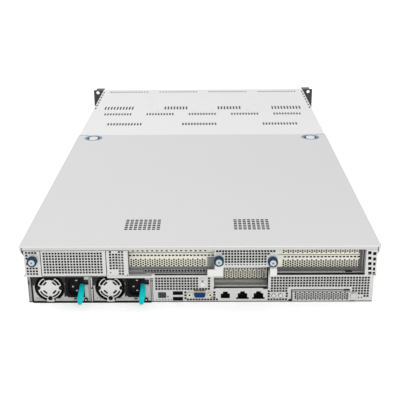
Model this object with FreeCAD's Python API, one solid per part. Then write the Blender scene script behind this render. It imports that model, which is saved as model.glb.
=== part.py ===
"""2U rack server as separate pieces. Millimetres: X to the right seen from behind,
Y towards the server's front, Z up. The origin is the middle of the chassis's bottom face."""
import FreeCAD
import Part
import math
import os

os.makedirs("parts", exist_ok=True)
Vector = FreeCAD.Vector

# Chassis and sheet thicknesses
chassis_width = 438.4
chassis_length = 840.0
chassis_height = 87.5
sheet = 1.2
cover_sheet = 1.0
clearance = 0.3

# Rear planes, measured from the rear edge of the top cover
wall_setback = 22.0
panel_setback = 4.0
wall_slant_drop = (25.5, 7.5)
sill_height = 45.0
panel_drop = 7.5

# Top covers
middle_cover_length = 169.5
front_cover_length = 187.0
cover_joint = 0.5
side_lip_height = 8.0
rear_lip_height = 6.5
lip_corner_relief = 4.0
slot_width = 3.0
middle_slot_length = 12.0
middle_slot_pitch = 5.55
fan_row_from_joint = 73.0
fan_row_inset = 73.4
fan_row_group_count = 3
fan_row_middle_shift = -5.4
fan_row_slot_count = 12
backplane_row_from_joint = 23.5
backplane_row_inset = 53.2
backplane_row_group_count = 5
backplane_row_slot_count = 10
front_slot_pitch = 6.1
long_slot_length = 20.0
long_row_from_joint = 24.0
long_row_inset = 50.9
long_outer_count = 10
long_inner_count = 8
short_slot_length = 8.0
short_row_from_front = 22.0
short_row_count = 14
edge_slot_length = 14.0
edge_slot_pitch = 23.0
edge_slot_count = 7
edge_slot_inset = 3.2

# Cover latches, quarter-turn knobs
latch_inset = 27.6
latch_from_joint = 17.5
latch_radius = 15.4
latch_depth = 6.5
latch_grip_width = 15.0
latch_recess_depth = 4.0
latch_recess_radius = 11.5

# Drive bays: as many columns and rows as the chassis takes
bay_pitch_z = 28.1
tray_rail = 2.0
cage_plate = 1.0
cage_depth = 178.0
drive_width = 101.6
drive_height = 25.4
drive_length = 147.0
bezel_depth = 12.0
lever_thickness = 7.0
lever_length = 72.0
lever_edge = 2.4
backplane_thickness = 2.4
backplane_gap = 6.0

# Rack ears
ear_reach = 22.1
ear_sheet = 3.0
ear_setback = 4.0
ear_tab_length = 36.0
ear_hole_inset = (8.75, 5.65)
ear_hole_radius = 3.5
ear_housing_width = 9.0
ear_housing_depth = 17.0
ear_roof = 1.5
ear_roof_width = 17.0
front_button_radius = 3.0
front_button_drop = 25.5
front_button_proud = 0.6
button_travel = 1.0

# Power supplies
psu_width = 73.5
psu_height = 40.0
psu_length = 185.0
psu_pitch = 77.1
psu_inset = 42.45
psu_fan_offset = -14.4
psu_fan_height = 21.0
psu_fan_well_radius = 18.7
psu_fan_well_depth = 15.0
psu_guard_radius = 11.75
psu_guard_sheet = 1.2
psu_guard_spoke = 2.2
psu_rotor_hub_radius = 10.0
psu_rotor_radius = 17.6
psu_rotor_depth = 8.0
inlet_offset = 14.2
inlet_width = 16.0
inlet_height = 24.0
inlet_bottom = 9.0
inlet_depth = 16.0
inlet_corner = 4.0
inlet_pin_spacing = 7.0
inlet_pin_stagger = 2.0
inlet_pin = (4.0, 2.0)
inlet_pin_setback = 2.0
psu_lever_offset = 26.0
psu_lever_thickness = 4.0
psu_lever_low = 8.0
psu_lever_high = 25.0
psu_lever_reach = 20.0
psu_lever_root = 4.0
psu_lever_round = 5.5
psu_lever_swing = 8.0

# Rear input and output wall
io_margin = 2.7
card_window = (17.6, 86.4)
card_window_low = 20.6
display_window = (-53.5, -43.2, 5.6, 13.7)
usb_left = -34.7
usb_width = 12.8
usb_height = 5.1
usb_lows = (1.9, 10.0)
socket_depth = 15.0
socket_wall = 0.6
usb_tongue = 1.8
video_window = (-7.6, 6.0, 7.2, 15.0)
video_flange = (-14.6, 11.0, 5.4, 16.6)
video_flange_sheet = 0.8
video_depth = 9.0
network_lefts = (25.7, 46.3, 66.2)
network_width = 14.0
network_low = 3.8
network_height = 11.3
network_wall = 1.0
rear_button_x = (93.7, 102.5)
rear_button_height = 9.0
rear_button_radius = 2.95
rear_button_depth = 7.0
rear_button_proud = 1.2
module_inset = (101.6, 14.2)
module_height = 12.9
module_length = 108.0
module_board = 1.6
module_board_rise = 3.0
module_chip_height = 4.5
module_tab_inset = 10.6
module_tab_radius = 4.2
module_tab_reach = 6.0

# Upper rear: brackets, riser cages and their slot covers
left_bracket_inset = (3.2, 23.2)
bay_cover_inset = (24.2, 103.6)
middle_bracket_inset = (104.6, 131.2)
centre_panel = (18.4, 95.6)
centre_panel_height = 23.0
right_bracket_inset = (15.5, 3.0)
bracket_tab = (9.6, 29.4)
bracket_tab_top = 54.5
bracket_column = (86.8, 94.9)
square_hole = 4.2
square_hole_counts = (2, 4)
square_hole_pitch = (4.6, 7.0)
square_hole_inset = (5.2, 17.0)
cage_reach = 190.0
slot_cover_setback = 18.0
slot_cover_pitch = 17.0
slot_cover_height = 14.5
low_profile_setback = 44.0
low_profile_height = 16.4
bay_cover_flange = 10.0

# Captive thumbscrews: distance from the left bracket's edge or place across, and drop from the
# panels' top; then collar and cap
left_thumbscrew = (10.6, 12.6)
centre_thumbscrews = ((23.7, 12.7), (89.7, 13.9))
collar_radius = 6.0
collar_length = 6.7
cap_radius = 3.9
cap_length = 0.8
shank_radius = 2.0
shank_length = 6.0

# Inside: board, coolers, memory, fans
board_thickness = 1.6
standoff_height = 1.6
standoff_radius = 3.0
board_rear_setback = 38.0
board_fan_gap = 10.0
cooler_size = (92.0, 100.0, 52.0)
cooler_base = 5.0
cooler_fin = 1.6
cooler_fin_count = 12
cooler_x = 105.0
cooler_from_joint = 42.5
memory_size = (5.5, 133.0, 33.0)
memory_pitch = 8.6
memory_bank_count = 4
fan_size = 80.0
fan_depth = 38.0
fan_pitch = 105.0
fan_count = 4
fan_from_joint = 107.0
fan_bore_radius = 38.0
fan_hub_radius = 18.0
fan_plate = 3.0
fan_strut = 4.0
fan_blades = 5
blade_thickness = 1.6
blade_twist = 38.0
blade_reach = 0.9

# Flats round the knurled screws, the fan hubs and the fan bores
flat_count = 20

# Planes and heights that follow from the sizes above
half_width = chassis_width / 2
rear = -chassis_length / 2
front = chassis_length / 2
cover_under = chassis_height - cover_sheet
wall_top = cover_under - clearance
panel_top = chassis_height - panel_drop
wall_rear = rear + wall_setback
panel_rear = rear + panel_setback
inner_half = half_width - sheet
front_cover_rear = front - front_cover_length
middle_cover_front = front_cover_rear - cover_joint
middle_cover_rear = middle_cover_front - middle_cover_length
rear_cover_front = middle_cover_rear - cover_joint
latch_x = half_width - latch_inset
latch_y = rear_cover_front - latch_from_joint
fan_y = middle_cover_rear + fan_from_joint
cooler_y = rear_cover_front - cooler_from_joint
bezel_front = front
cage_front = front - cage_plate
cage_rear = cage_front - cage_depth
bay_height = bay_pitch_z - cage_plate
tray_width = drive_width + 2 * tray_rail
bay_pitch_x = tray_width + cage_plate + 2 * clearance
bay_columns = int((chassis_width - 2 * sheet) // bay_pitch_x)
bay_rows = int((cover_under - sheet - cage_plate + clearance) // bay_pitch_z)
tray_height = bay_height - 2 * clearance
psu_low = sheet + clearance
psu_bottom_to_top = (psu_low, psu_low + psu_height)
cage_floor = sill_height + sheet
bay_right = -half_width + psu_inset + psu_pitch + psu_width / 2 + clearance
io_left = bay_right + sheet + io_margin
module_window = (half_width - module_inset[0], half_width - module_inset[1])
module_tab_x = module_window[1] - module_tab_inset
left_bracket = (left_bracket_inset[0] - half_width, left_bracket_inset[1] - half_width)
bay_cover = (bay_cover_inset[0] - half_width, bay_cover_inset[1] - half_width)
middle_bracket = (middle_bracket_inset[0] - half_width, middle_bracket_inset[1] - half_width)
right_bracket = (half_width - right_bracket_inset[0], half_width - right_bracket_inset[1])
square_hole_middle = (right_bracket[1] - square_hole_inset[0], panel_top - square_hole_inset[1])
centre_panel_low = panel_top - centre_panel_height
thumbscrew_places = [(left_bracket[0] + left_thumbscrew[0], panel_top - left_thumbscrew[1])]
thumbscrew_places += [(x, panel_top - drop) for x, drop in centre_thumbscrews]


def box(x, y, z):
    """Block between the low and high limits on each axis."""
    return Part.makeBox(x[1] - x[0], y[1] - y[0], z[1] - z[0], Vector(x[0], y[0], z[0]))


def around(middle, size):
    """Low and high limit of a span with its middle given."""
    return (middle - size / 2, middle + size / 2)


def rod(x, y, z, radius):
    """Round bar along Y between the two limits of y."""
    return Part.makeCylinder(radius, y[1] - y[0], Vector(x, y[0], z), Vector(0, 1, 0))


def fluted(x, y, z, radius):
    """Bar along Y with flats that touch a circle of that radius."""
    reach = radius / math.cos(math.pi / flat_count)
    corners = []
    for i in range(flat_count):
        angle = math.tau * (i + 0.5) / flat_count
        corners.append((x + reach * math.cos(angle), y[0], z + reach * math.sin(angle)))
    return Part.Face(loop(corners)).extrude(Vector(0, y[1] - y[0], 0))


def loop(points):
    """Closed wire through the points."""
    return Part.makePolygon([Vector(*point) for point in points] + [Vector(*points[0])])


def upright_window(x, z, y):
    """Rectangle that stands across the length of the server."""
    return loop([(x[0], y, z[0]), (x[1], y, z[0]), (x[1], y, z[1]), (x[0], y, z[1])])


def flat_window(x, y, z):
    """Rectangle that lies level."""
    return loop([(x[0], y[0], z), (x[1], y[0], z), (x[1], y[1], z), (x[0], y[1], z)])


def pierced(outline, windows, thickness):
    """Sheet of that outline with the windows punched through; thickness is the vector it is pulled along."""
    face = Part.makeFace([outline] + windows, "Part::FaceMakerBullseye")
    return face.extrude(thickness)


def centred_grid(middle, count, pitch):
    """Places of count things at that pitch, centred on middle."""
    return [middle + (i - (count - 1) / 2) * pitch for i in range(count)]


def slot_row(middles, count, pitch, length, y):
    """Row of groups of slots in a top cover, one group at each of the middles, centred on y."""
    return [
        flat_window(around(x, slot_width), around(y, length), cover_under)
        for middle in middles
        for x in centred_grid(middle, count, pitch)
    ]


def spread(count, inset):
    """Places spread evenly over the width, the outer ones at that distance from the sides."""
    step = 2 * (half_width - inset) / (count - 1)
    return centred_grid(0, count, step)


def round_window(x, z, radius, y):
    """Circle that stands across the length of the server."""
    return Part.Wire(Part.makeCircle(radius, Vector(x, y, z), Vector(0, 1, 0)))


def keep(name, solids):
    """Writes one node, of one solid or of several like ones."""
    shape = solids[0] if len(solids) == 1 else Part.makeCompound(solids)
    shape.exportStep("parts/" + name + ".step")


def chassis_tub():
    """Bottom sheet with both side walls folded up; the walls reach back under the cover's rear edge."""
    lip_rear = rear + cover_sheet + clearance
    edge = [
        (wall_rear, 0),
        (front, 0),
        (front, wall_top),
        (lip_rear, wall_top),
        (lip_rear, chassis_height - wall_slant_drop[1]),
        (wall_rear, chassis_height - wall_slant_drop[0]),
    ]
    floor = box(around(0, chassis_width), (wall_rear, front), (0, sheet))
    walls = []
    for x in (-half_width, inner_half):
        face = Part.Face(loop([(x, y, z) for y, z in edge]))
        walls.append(face.extrude(Vector(sheet, 0, 0)))
    return floor.fuse(walls).removeSplitter()


def top_sheet(y, windows):
    """Level cover sheet over the full width of the tub."""
    outline = flat_window(around(0, chassis_width), y, cover_under)
    return pierced(outline, windows, Vector(0, 0, cover_sheet))


def rear_cover():
    """Lift-off cover: a lip folded down at the rear and one down each side, and two latch holes."""
    lip_inner = half_width + clearance
    lip_outer = lip_inner + cover_sheet
    windows = []
    for side in (-1, 1):
        centre = Vector(side * latch_x, latch_y, cover_under)
        windows.append(Part.Wire(Part.makeCircle(latch_radius + clearance, centre)))
    outline = flat_window((-lip_outer, lip_outer), (rear, rear_cover_front), cover_under)
    top = pierced(outline, windows, Vector(0, 0, cover_sheet))
    side_z = (chassis_height - side_lip_height, cover_under)
    side_y = (rear + lip_corner_relief, rear_cover_front)
    lips = [box((-lip_outer, -lip_inner), side_y, side_z), box((lip_inner, lip_outer), side_y, side_z)]
    rear_x = around(0, 2 * (lip_outer - lip_corner_relief))
    lips.append(box(rear_x, (rear, rear + cover_sheet), (chassis_height - rear_lip_height, cover_under)))
    return top.fuse(lips).removeSplitter()


def cover_latch(side):
    """Round quarter-turn knob with a grip bar left between two finger recesses."""
    x = side * latch_x
    y = latch_y
    knob = Part.makeCylinder(latch_radius, latch_depth, Vector(x, y, chassis_height - latch_depth))
    dish = Part.makeCylinder(
        latch_recess_radius, latch_recess_depth, Vector(x, y, chassis_height - latch_recess_depth)
    )
    grip_x = around(x, latch_grip_width)
    grip = box(grip_x, around(y, 2 * latch_radius), (0, chassis_height))
    return knob.cut(dish.cut(grip))


def front_cover():
    """Fixed cover over the drive cage, with a long and a short slot row and slots along both edges."""
    long_y = front_cover_rear + long_row_from_joint
    short_y = front - short_row_from_front
    outer = spread(2, long_row_inset)
    columns = centred_grid(0, bay_columns, bay_pitch_x)
    windows = slot_row(outer, long_outer_count, front_slot_pitch, long_slot_length, long_y)
    windows += slot_row(columns[1:-1], long_inner_count, front_slot_pitch, long_slot_length, long_y)
    windows += slot_row(columns, short_row_count, front_slot_pitch, short_slot_length, short_y)
    middle = (front_cover_rear + front) / 2
    for side in (-1, 1):
        x = around(side * (half_width - edge_slot_inset), slot_width)
        for y in centred_grid(middle, edge_slot_count, edge_slot_pitch):
            windows.append(flat_window(x, around(y, edge_slot_length), cover_under))
    return top_sheet((front_cover_rear, front), windows)


def middle_cover():
    """Cover over the fans, between the lift-off cover and the fixed front cover."""
    fan_row = spread(fan_row_group_count, fan_row_inset)
    fan_row[fan_row_group_count // 2] += fan_row_middle_shift
    backplane_row = spread(backplane_row_group_count, backplane_row_inset)
    rows = (
        (fan_row, fan_row_slot_count, middle_cover_rear + fan_row_from_joint),
        (backplane_row, backplane_row_slot_count, middle_cover_front - backplane_row_from_joint),
    )
    windows = []
    for middles, count, y in rows:
        windows += slot_row(middles, count, middle_slot_pitch, middle_slot_length, y)
    return top_sheet((middle_cover_rear, middle_cover_front), windows)


def cage_plates():
    """Uprights and shelves of the drive cage, riveted together at their edges."""
    y = (cage_rear, cage_front)
    uprights = centred_grid(0, bay_columns + 1, bay_pitch_x)
    height = (sheet, sheet + bay_rows * bay_pitch_z + cage_plate)
    plates = [box(around(x, cage_plate), y, height) for x in uprights]
    for x in centred_grid(0, bay_columns, bay_pitch_x):
        for row in range(bay_rows + 1):
            low = sheet + row * bay_pitch_z
            plates.append(box(around(x, bay_pitch_x - cage_plate), y, (low, low + cage_plate)))
    return plates


def drive_tray(x, low):
    """Drive between two rails behind a bezel; the bezel's two ears carry the lever."""
    z = (low, low + tray_height)
    rail_y = (bezel_front - bezel_depth - drive_length, bezel_front - bezel_depth)
    drive = box(around(x, drive_width), rail_y, around(low + tray_height / 2, drive_height))
    outer = around(x, tray_width)
    rails = [
        box((outer[0], x - drive_width / 2), rail_y, z),
        box((x + drive_width / 2, outer[1]), rail_y, z),
    ]
    bezel = box(outer, (rail_y[1], bezel_front), z)
    ear_x = (outer[0], outer[0] + lever_thickness + clearance)
    ear_y = (bezel_front, bezel_front + lever_thickness + 2 * clearance)
    for ear_z in ((z[0], z[0] + lever_edge - clearance), (z[1] - lever_edge + clearance, z[1])):
        bezel = bezel.fuse(box(ear_x, ear_y, ear_z))
    return [drive, bezel.removeSplitter()] + rails


def tray_lever(x, low):
    """Flat lever across the bezel, round where it turns and slim at its free end."""
    radius = lever_thickness / 2
    pivot = tray_pivot(x)
    z = (low + lever_edge, low + tray_height - lever_edge)
    start = Vector(pivot[0], pivot[1] + radius, z[0])
    end = Vector(pivot[0], pivot[1] - radius, z[0])
    tip_y = pivot[1] + radius - lever_edge
    tip = Vector(pivot[0] + lever_length, tip_y, z[0])
    heel = Vector(pivot[0] + lever_length, pivot[1] - radius, z[0])
    nose = Part.Arc(start, Vector(pivot[0] - radius, pivot[1], z[0]), end).toShape()
    sides = Part.makePolygon([end, heel, tip, start])
    face = Part.Face(Part.Wire([nose] + sides.Edges))
    return face.extrude(Vector(0, 0, z[1] - z[0]))


def tray_pivot(x):
    """Axis of a tray's lever: its X and Y."""
    radius = lever_thickness / 2
    return (x - tray_width / 2 + radius, bezel_front + clearance + radius)


def rack_ear(side):
    """Steel angle on the chassis wall with two rack holes, and the control housing in front of it."""
    def span(inner, outer):
        return tuple(sorted((side * inner, side * outer)))

    flange_y = (front - ear_setback, front - ear_setback + ear_sheet)
    outer = half_width + ear_reach
    hole_x = side * (outer - ear_hole_inset[0])
    holes = [
        round_window(hole_x, z, ear_hole_radius, flange_y[0])
        for z in (ear_hole_inset[1], chassis_height - ear_hole_inset[1])
    ]
    outline = upright_window(span(half_width, outer), (0, chassis_height), flange_y[0])
    flange = pierced(outline, holes, Vector(0, ear_sheet, 0))
    tab_y = (flange_y[0] - ear_tab_length, flange_y[0])
    tab = box(span(half_width, half_width + sheet), tab_y, (0, panel_top))
    housing_y = (flange_y[1], flange_y[1] + ear_housing_depth)
    roof_low = chassis_height - ear_roof
    housing = box(span(half_width, half_width + ear_housing_width), housing_y, (0, roof_low))
    well_y = (housing_y[1] - button_depth(), housing_y[1])
    button_z = chassis_height - front_button_drop
    well = rod(ear_button_x(side), well_y, button_z, front_button_radius + clearance)
    roof = box(span(half_width, half_width + ear_roof_width), housing_y, (roof_low, chassis_height))
    return flange.fuse([tab, housing.cut(well), roof]).removeSplitter()


def ear_button_x(side):
    """Middle of the ear housing."""
    return side * (half_width + ear_housing_width / 2)


def button_depth():
    """Depth of a button's well: its travel and twice as much guide."""
    return 3 * button_travel + clearance


def front_button(side):
    """Round push button in the ear housing."""
    face = front - ear_setback + ear_sheet + ear_housing_depth
    y = (face - 2 * button_travel, face + front_button_proud)
    return rod(ear_button_x(side), y, chassis_height - front_button_drop, front_button_radius)


def psu_centre(index):
    """Middle of a power supply across the server."""
    return -half_width + psu_inset + index * psu_pitch


def psu_case(index):
    """Case with a fan well behind a hub and spokes, the inlet's cavity with its pins, the lever's pocket."""
    x = psu_centre(index)
    case = box(around(x, psu_width), (wall_rear, wall_rear + psu_length), psu_bottom_to_top)
    fan_x = x + psu_fan_offset
    well_y = (wall_rear, wall_rear + psu_fan_well_depth)
    case = case.cut(rod(fan_x, well_y, psu_fan_height, psu_fan_well_radius))
    guard_y = (wall_rear, wall_rear + psu_guard_sheet)
    guard = rod(fan_x, guard_y, psu_fan_height, psu_guard_radius)
    reach = psu_fan_well_radius + psu_guard_spoke / 2
    for angle in (45, -45):
        spoke = box(around(fan_x, 2 * reach), guard_y, around(psu_fan_height, psu_guard_spoke))
        spoke.rotate(Vector(fan_x, 0, psu_fan_height), Vector(0, 1, 0), angle)
        guard = guard.fuse(spoke)
    lever_x = x + psu_lever_offset
    lever_pivot = psu_lever_axis(index)[1]
    swing = math.tan(math.radians(psu_lever_swing)) * psu_lever_root
    pocket_x = around(lever_x, psu_lever_thickness + 2 * (swing + clearance))
    pocket_z = (psu_lever_low - clearance, psu_lever_high + clearance)
    pocket = box(pocket_x, (wall_rear, lever_pivot + psu_lever_thickness / 2 + clearance), pocket_z)
    return case.fuse(guard).cut([inlet_cavity(index), pocket]).removeSplitter()


def inlet_span(index):
    """Limits of an inlet's cavity on X and on Z."""
    return around(psu_centre(index) + inlet_offset, inlet_width), (inlet_bottom, inlet_bottom + inlet_height)


def inlet_cavity(index):
    """Socket hollow that stands upright, with its two left corners cut off and three pins left standing."""
    (left, right), (low, high) = inlet_span(index)
    outline = loop([
        (left + inlet_corner, wall_rear, low),
        (right, wall_rear, low),
        (right, wall_rear, high),
        (left + inlet_corner, wall_rear, high),
        (left, wall_rear, high - inlet_corner),
        (left, wall_rear, low + inlet_corner),
    ])
    hollow = Part.Face(outline).extrude(Vector(0, inlet_depth, 0))
    pin_y = (wall_rear + inlet_pin_setback, wall_rear + inlet_depth)
    middle = (low + high) / 2
    for step in (-1, 0, 1):
        shift = inlet_pin_stagger if step else -inlet_pin_stagger
        pin_x = around((left + right) / 2 + shift, inlet_pin[0])
        hollow = hollow.cut(box(pin_x, pin_y, around(middle + step * inlet_pin_spacing, inlet_pin[1])))
    return hollow


def psu_lever_axis(index):
    """Axis of a supply's release lever: its X and Y."""
    return (psu_centre(index) + psu_lever_offset, wall_rear + psu_lever_root)


def psu_lever(index):
    """Upright release blade, round at its root and with a rounded outer end."""
    x, y = psu_lever_axis(index)
    half = psu_lever_thickness / 2
    tip = wall_rear - psu_lever_reach
    height = psu_lever_high - psu_lever_low
    blade = box(around(x, psu_lever_thickness), (tip, y), (psu_lever_low, psu_lever_high))
    outer = [e for e in blade.Edges if e.BoundBox.YMax < tip + half and e.BoundBox.XLength > half]
    blade = blade.makeFillet(min(psu_lever_round, height / 2 - clearance), outer)
    root = Part.makeCylinder(half, height, Vector(x, y, psu_lever_low))
    return blade.fuse(root).removeSplitter()


def psu_rotor(index):
    """Small fan: hub and flat blades, running on the end of the well."""
    x = psu_centre(index) + psu_fan_offset
    seat = wall_rear + psu_fan_well_depth - clearance
    return bladed(x, (seat - psu_rotor_depth, seat), psu_fan_height, psu_rotor_hub_radius, psu_rotor_radius)


def bladed(x, y, z, hub_radius, tip_radius):
    """Fan rotor about an axis along Y: a hub with slanting blades."""
    hub = fluted(x, y, z, hub_radius)
    middle = (y[0] + y[1]) / 2
    chord = blade_reach * (y[1] - y[0]) / math.cos(math.radians(blade_twist))
    blades = []
    for i in range(fan_blades):
        blade = box(
            around(x, blade_thickness),
            around(middle, chord - blade_thickness),
            (z + hub_radius - blade_thickness, z + tip_radius - blade_thickness),
        )
        blade.rotate(Vector(x, middle, z), Vector(0, 0, 1), blade_twist)
        blade.rotate(Vector(x, middle, z), Vector(0, 1, 0), i * 360 / fan_blades)
        blades.append(blade)
    return hub.fuse(blades)


def lower_rear_wall():
    """Rear wall below the riser cages with its windows, the supplies' shelf and walls, and a ledge."""
    height = (sheet, sill_height)
    y = wall_rear
    outline = loop([
        (-inner_half, y, height[0]),
        (inner_half, y, height[0]),
        (inner_half, y, height[1]),
        (card_window[1], y, height[1]),
        (card_window[1], y, card_window_low),
        (card_window[0], y, card_window_low),
        (card_window[0], y, height[1]),
        (-inner_half, y, height[1]),
    ])
    windows = [upright_window(display_window[:2], display_window[2:], y)]
    for i in range(2):
        windows.append(upright_window(around(psu_centre(i), psu_width + 2 * clearance), psu_window(), y))
    windows += [upright_window(usb_span(), (low, low + usb_height), y) for low in usb_lows]
    windows.append(upright_window(video_window[:2], video_window[2:], y))
    network_z = (network_low, network_low + network_height)
    windows += [upright_window((left, left + network_width), network_z, y) for left in network_lefts]
    button_hole = rear_button_radius + clearance
    windows += [round_window(x, rear_button_height, button_hole, y) for x in rear_button_x]
    windows.append(upright_window(module_window, module_gap_z(), y))
    wall = pierced(outline, windows, Vector(0, sheet, 0))
    bay_y = (wall_rear + sheet, wall_rear + psu_length)
    shelf = box((-inner_half, bay_right + sheet), (panel_rear, bay_y[1]), (sill_height, cage_floor))
    walls = [
        box(around((psu_centre(0) + psu_centre(1)) / 2, sheet), bay_y, height),
        box((bay_right, bay_right + sheet), bay_y, height),
    ]
    ledge_y = (wall_rear + sheet, rear + low_profile_setback + cover_sheet)
    ledge = box(card_window, ledge_y, (card_window_low - sheet, card_window_low))
    return [wall, shelf, ledge] + walls


def psu_window():
    """Height of the supplies' windows, with running clearance."""
    return (psu_low - clearance / 2, psu_low + psu_height + clearance)


def module_gap_z():
    """Height of the module's window, with running clearance."""
    return (sheet + clearance / 2, sheet + 2 * clearance + module_height)


def usb_span():
    """Limits of the USB sockets on X."""
    return (usb_left, usb_left + usb_width)


def socket(x, z, wall):
    """Rectangular socket shell behind the rear wall, open to the rear."""
    y = (wall_rear, wall_rear + socket_depth)
    inner = box((x[0] + wall, x[1] - wall), (y[0], y[1] - wall), (z[0] + wall, z[1] - wall))
    return box(x, y, z).cut(inner)


def rear_sockets():
    """USB, video and network sockets and the display's cover, as separate solids."""
    parts = []
    for low in usb_lows:
        shell = socket(usb_span(), (low, low + usb_height), socket_wall)
        middle = low + usb_height / 2
        tongue_x = (usb_left + 2 * socket_wall, usb_left + usb_width - 2 * socket_wall)
        tongue_y = (wall_rear + 2 * socket_wall, wall_rear + socket_depth)
        parts.append(shell.fuse(box(tongue_x, tongue_y, around(middle, usb_tongue))).removeSplitter())
    for left in network_lefts:
        z = (network_low, network_low + network_height)
        parts.append(socket((left, left + network_width), z, network_wall))
    body = box(video_window[:2], (wall_rear - video_depth / 2, wall_rear + video_depth), video_window[2:])
    flange_y = (wall_rear - video_flange_sheet, wall_rear)
    parts.append(body.fuse(box(video_flange[:2], flange_y, video_flange[2:])).removeSplitter())
    display_y = (wall_rear, wall_rear + socket_depth)
    parts.append(box(display_window[:2], display_y, display_window[2:]))
    return parts


def network_module():
    """Network card that slides in from the rear: face plate, board, chips and a pull knob."""
    y = wall_rear
    x = (module_window[0] + clearance, module_window[1] - clearance)
    low = sheet + clearance
    plate = box(x, (y - sheet, y + sheet), (low, low + module_height))
    board_z = (low + module_board_rise, low + module_board_rise + module_board)
    board_x = (x[0] + clearance, x[1] - 2 * module_tab_radius)
    board = box(board_x, (y + sheet, y + module_length), board_z)
    chip = box(
        around(sum(board_x) / 2, module_length / 3),
        around(y + module_length / 2, module_length / 3),
        (board_z[1], board_z[1] + module_chip_height),
    )
    knob_y = (y - sheet - module_tab_reach, y - sheet)
    knob = rod(module_tab_x, knob_y, low + module_height / 2, module_tab_radius)
    return [plate.fuse([board, knob]).removeSplitter(), chip]


def upright_plate(x, z, windows):
    """Bracket plate in the plane of the upper rear panels."""
    return pierced(upright_window(x, z, panel_rear), windows, Vector(0, sheet, 0))


def screw_window(place):
    """Clearance hole of a captive thumbscrew."""
    return round_window(place[0], place[1], shank_radius + clearance, panel_rear)


def square_holes():
    """Columns and rows of large holes in the right bracket."""
    windows = []
    for x in centred_grid(square_hole_middle[0], square_hole_counts[0], square_hole_pitch[0]):
        for z in centred_grid(square_hole_middle[1], square_hole_counts[1], square_hole_pitch[1]):
            windows.append(upright_window(around(x, square_hole), around(z, square_hole), panel_rear))
    return windows


def riser_cage_plates():
    """Brackets across the upper rear and the floors and side walls of the two riser cages behind them."""
    y = (panel_rear + sheet, panel_rear + cage_reach)
    z = (cage_floor, panel_top)
    floor_z = (sill_height, cage_floor)
    centre_z = (centre_panel_low, panel_top)
    plates = [
        upright_plate(left_bracket, z, [screw_window(thumbscrew_places[0])]),
        upright_plate(middle_bracket, z, []),
        upright_plate(centre_panel, centre_z, [screw_window(place) for place in thumbscrew_places[1:]]),
        upright_plate(bracket_column, (cage_floor, centre_panel_low), []),
        upright_plate((bracket_tab[0], card_window[0]), (cage_floor, bracket_tab_top), []),
        upright_plate(right_bracket, z, square_holes()),
        box((middle_bracket[1] - sheet, middle_bracket[1]), y, z),
        box((centre_panel[0], centre_panel[0] + sheet), y, (centre_panel_low, panel_top)),
        box((bracket_column[1] - sheet, bracket_column[1]), y, z),
        box((right_bracket[0], right_bracket[0] + sheet), y, z),
        box((bay_right + sheet, card_window[0]), (panel_rear, y[1]), floor_z),
        box((card_window[1], inner_half), (panel_rear, y[1]), floor_z),
    ]
    return plates


def slot_cover(x, low, height, setback):
    """Blank plate over one expansion slot."""
    y = rear + setback
    return box(x, (y, y + cover_sheet), (low, low + height))


def slot_cover_set():
    """As many covers in each riser window as its height takes, and one in the low card window."""
    covers = []
    for x in ((middle_bracket[1], centre_panel[0]), (bracket_column[1], right_bracket[0])):
        for i in range(int((panel_top - cage_floor) // slot_cover_height)):
            low = cage_floor + i * slot_cover_pitch
            covers.append(slot_cover(x, low, slot_cover_height, slot_cover_setback))
    covers.append(slot_cover(card_window, card_window_low, low_profile_height, low_profile_setback))
    return covers


def perforated_bay_cover():
    """Cover over the empty bay: a sheet with a flange folded forward at its foot and top."""
    z = (cage_floor, panel_top)
    plate = upright_plate(bay_cover, z, [])
    y = (panel_rear + sheet, panel_rear + bay_cover_flange)
    flanges = [box(bay_cover, y, (z[0], z[0] + sheet)), box(bay_cover, y, (z[1] - sheet, z[1]))]
    return plate.fuse(flanges).removeSplitter()


def thumbscrew(place):
    """Captive screw: shank through the bracket, a knurled sleeve and a smaller cap outside it."""
    x, z = place
    seat = panel_rear - clearance
    collar_end = seat - collar_length
    parts = [
        fluted(x, (collar_end, seat), z, collar_radius),
        fluted(x, (collar_end - cap_length, collar_end), z, cap_radius),
        rod(x, (seat, seat + shank_length), z, shank_radius),
    ]
    return parts[0].fuse(parts[1:])


def rear_button(x):
    """Small round button that stands a little proud of the rear wall."""
    y = (wall_rear - rear_button_proud, wall_rear + rear_button_depth)
    return rod(x, y, rear_button_height, rear_button_radius)


def board_height():
    """Low and high face of the main board."""
    return (sheet + standoff_height, sheet + standoff_height + board_thickness)


def main_board():
    """Board that runs beside the supplies and widens in front of them, on hexagonal standoffs."""
    z = board_height()
    left = io_left + 2 * sheet
    wide_rear = wall_rear + psu_length + board_rear_setback
    rear_edge = rear + board_rear_setback
    front_edge = fan_y - fan_depth / 2 - board_fan_gap
    notch = (module_window[0] - 2 * clearance, module_window[1] + clearance)
    notch_front = wall_rear + module_length + 2 * sheet
    edge = [
        (left, rear_edge),
        (notch[0], rear_edge),
        (notch[0], notch_front),
        (notch[1], notch_front),
        (notch[1], rear_edge),
        (inner_half - sheet, rear_edge),
        (inner_half - sheet, front_edge),
        (-inner_half + sheet, front_edge),
        (-inner_half + sheet, wide_rear),
        (left, wide_rear),
    ]
    board = Part.Face(loop([(x, y, z[0]) for x, y in edge])).extrude(Vector(0, 0, board_thickness))
    posts = []
    inset = 3 * standoff_radius
    for x in (left + inset, inner_half - sheet - inset):
        for y in (notch_front + inset, (wide_rear + front_edge) / 2, front_edge - inset):
            posts.append(standoff(x, y))
    posts.append(standoff(-inner_half + sheet + inset, front_edge - inset))
    posts.append(standoff(-inner_half + sheet + inset, wide_rear + inset))
    return [board] + posts


def standoff(x, y):
    """Hexagonal spacer between the tub's floor and the board."""
    corners = []
    for i in range(6):
        angle = math.radians(60 * i)
        corners.append((x + standoff_radius * math.cos(angle), y + standoff_radius * math.sin(angle), sheet))
    return Part.Face(loop(corners)).extrude(Vector(0, 0, standoff_height))


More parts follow.
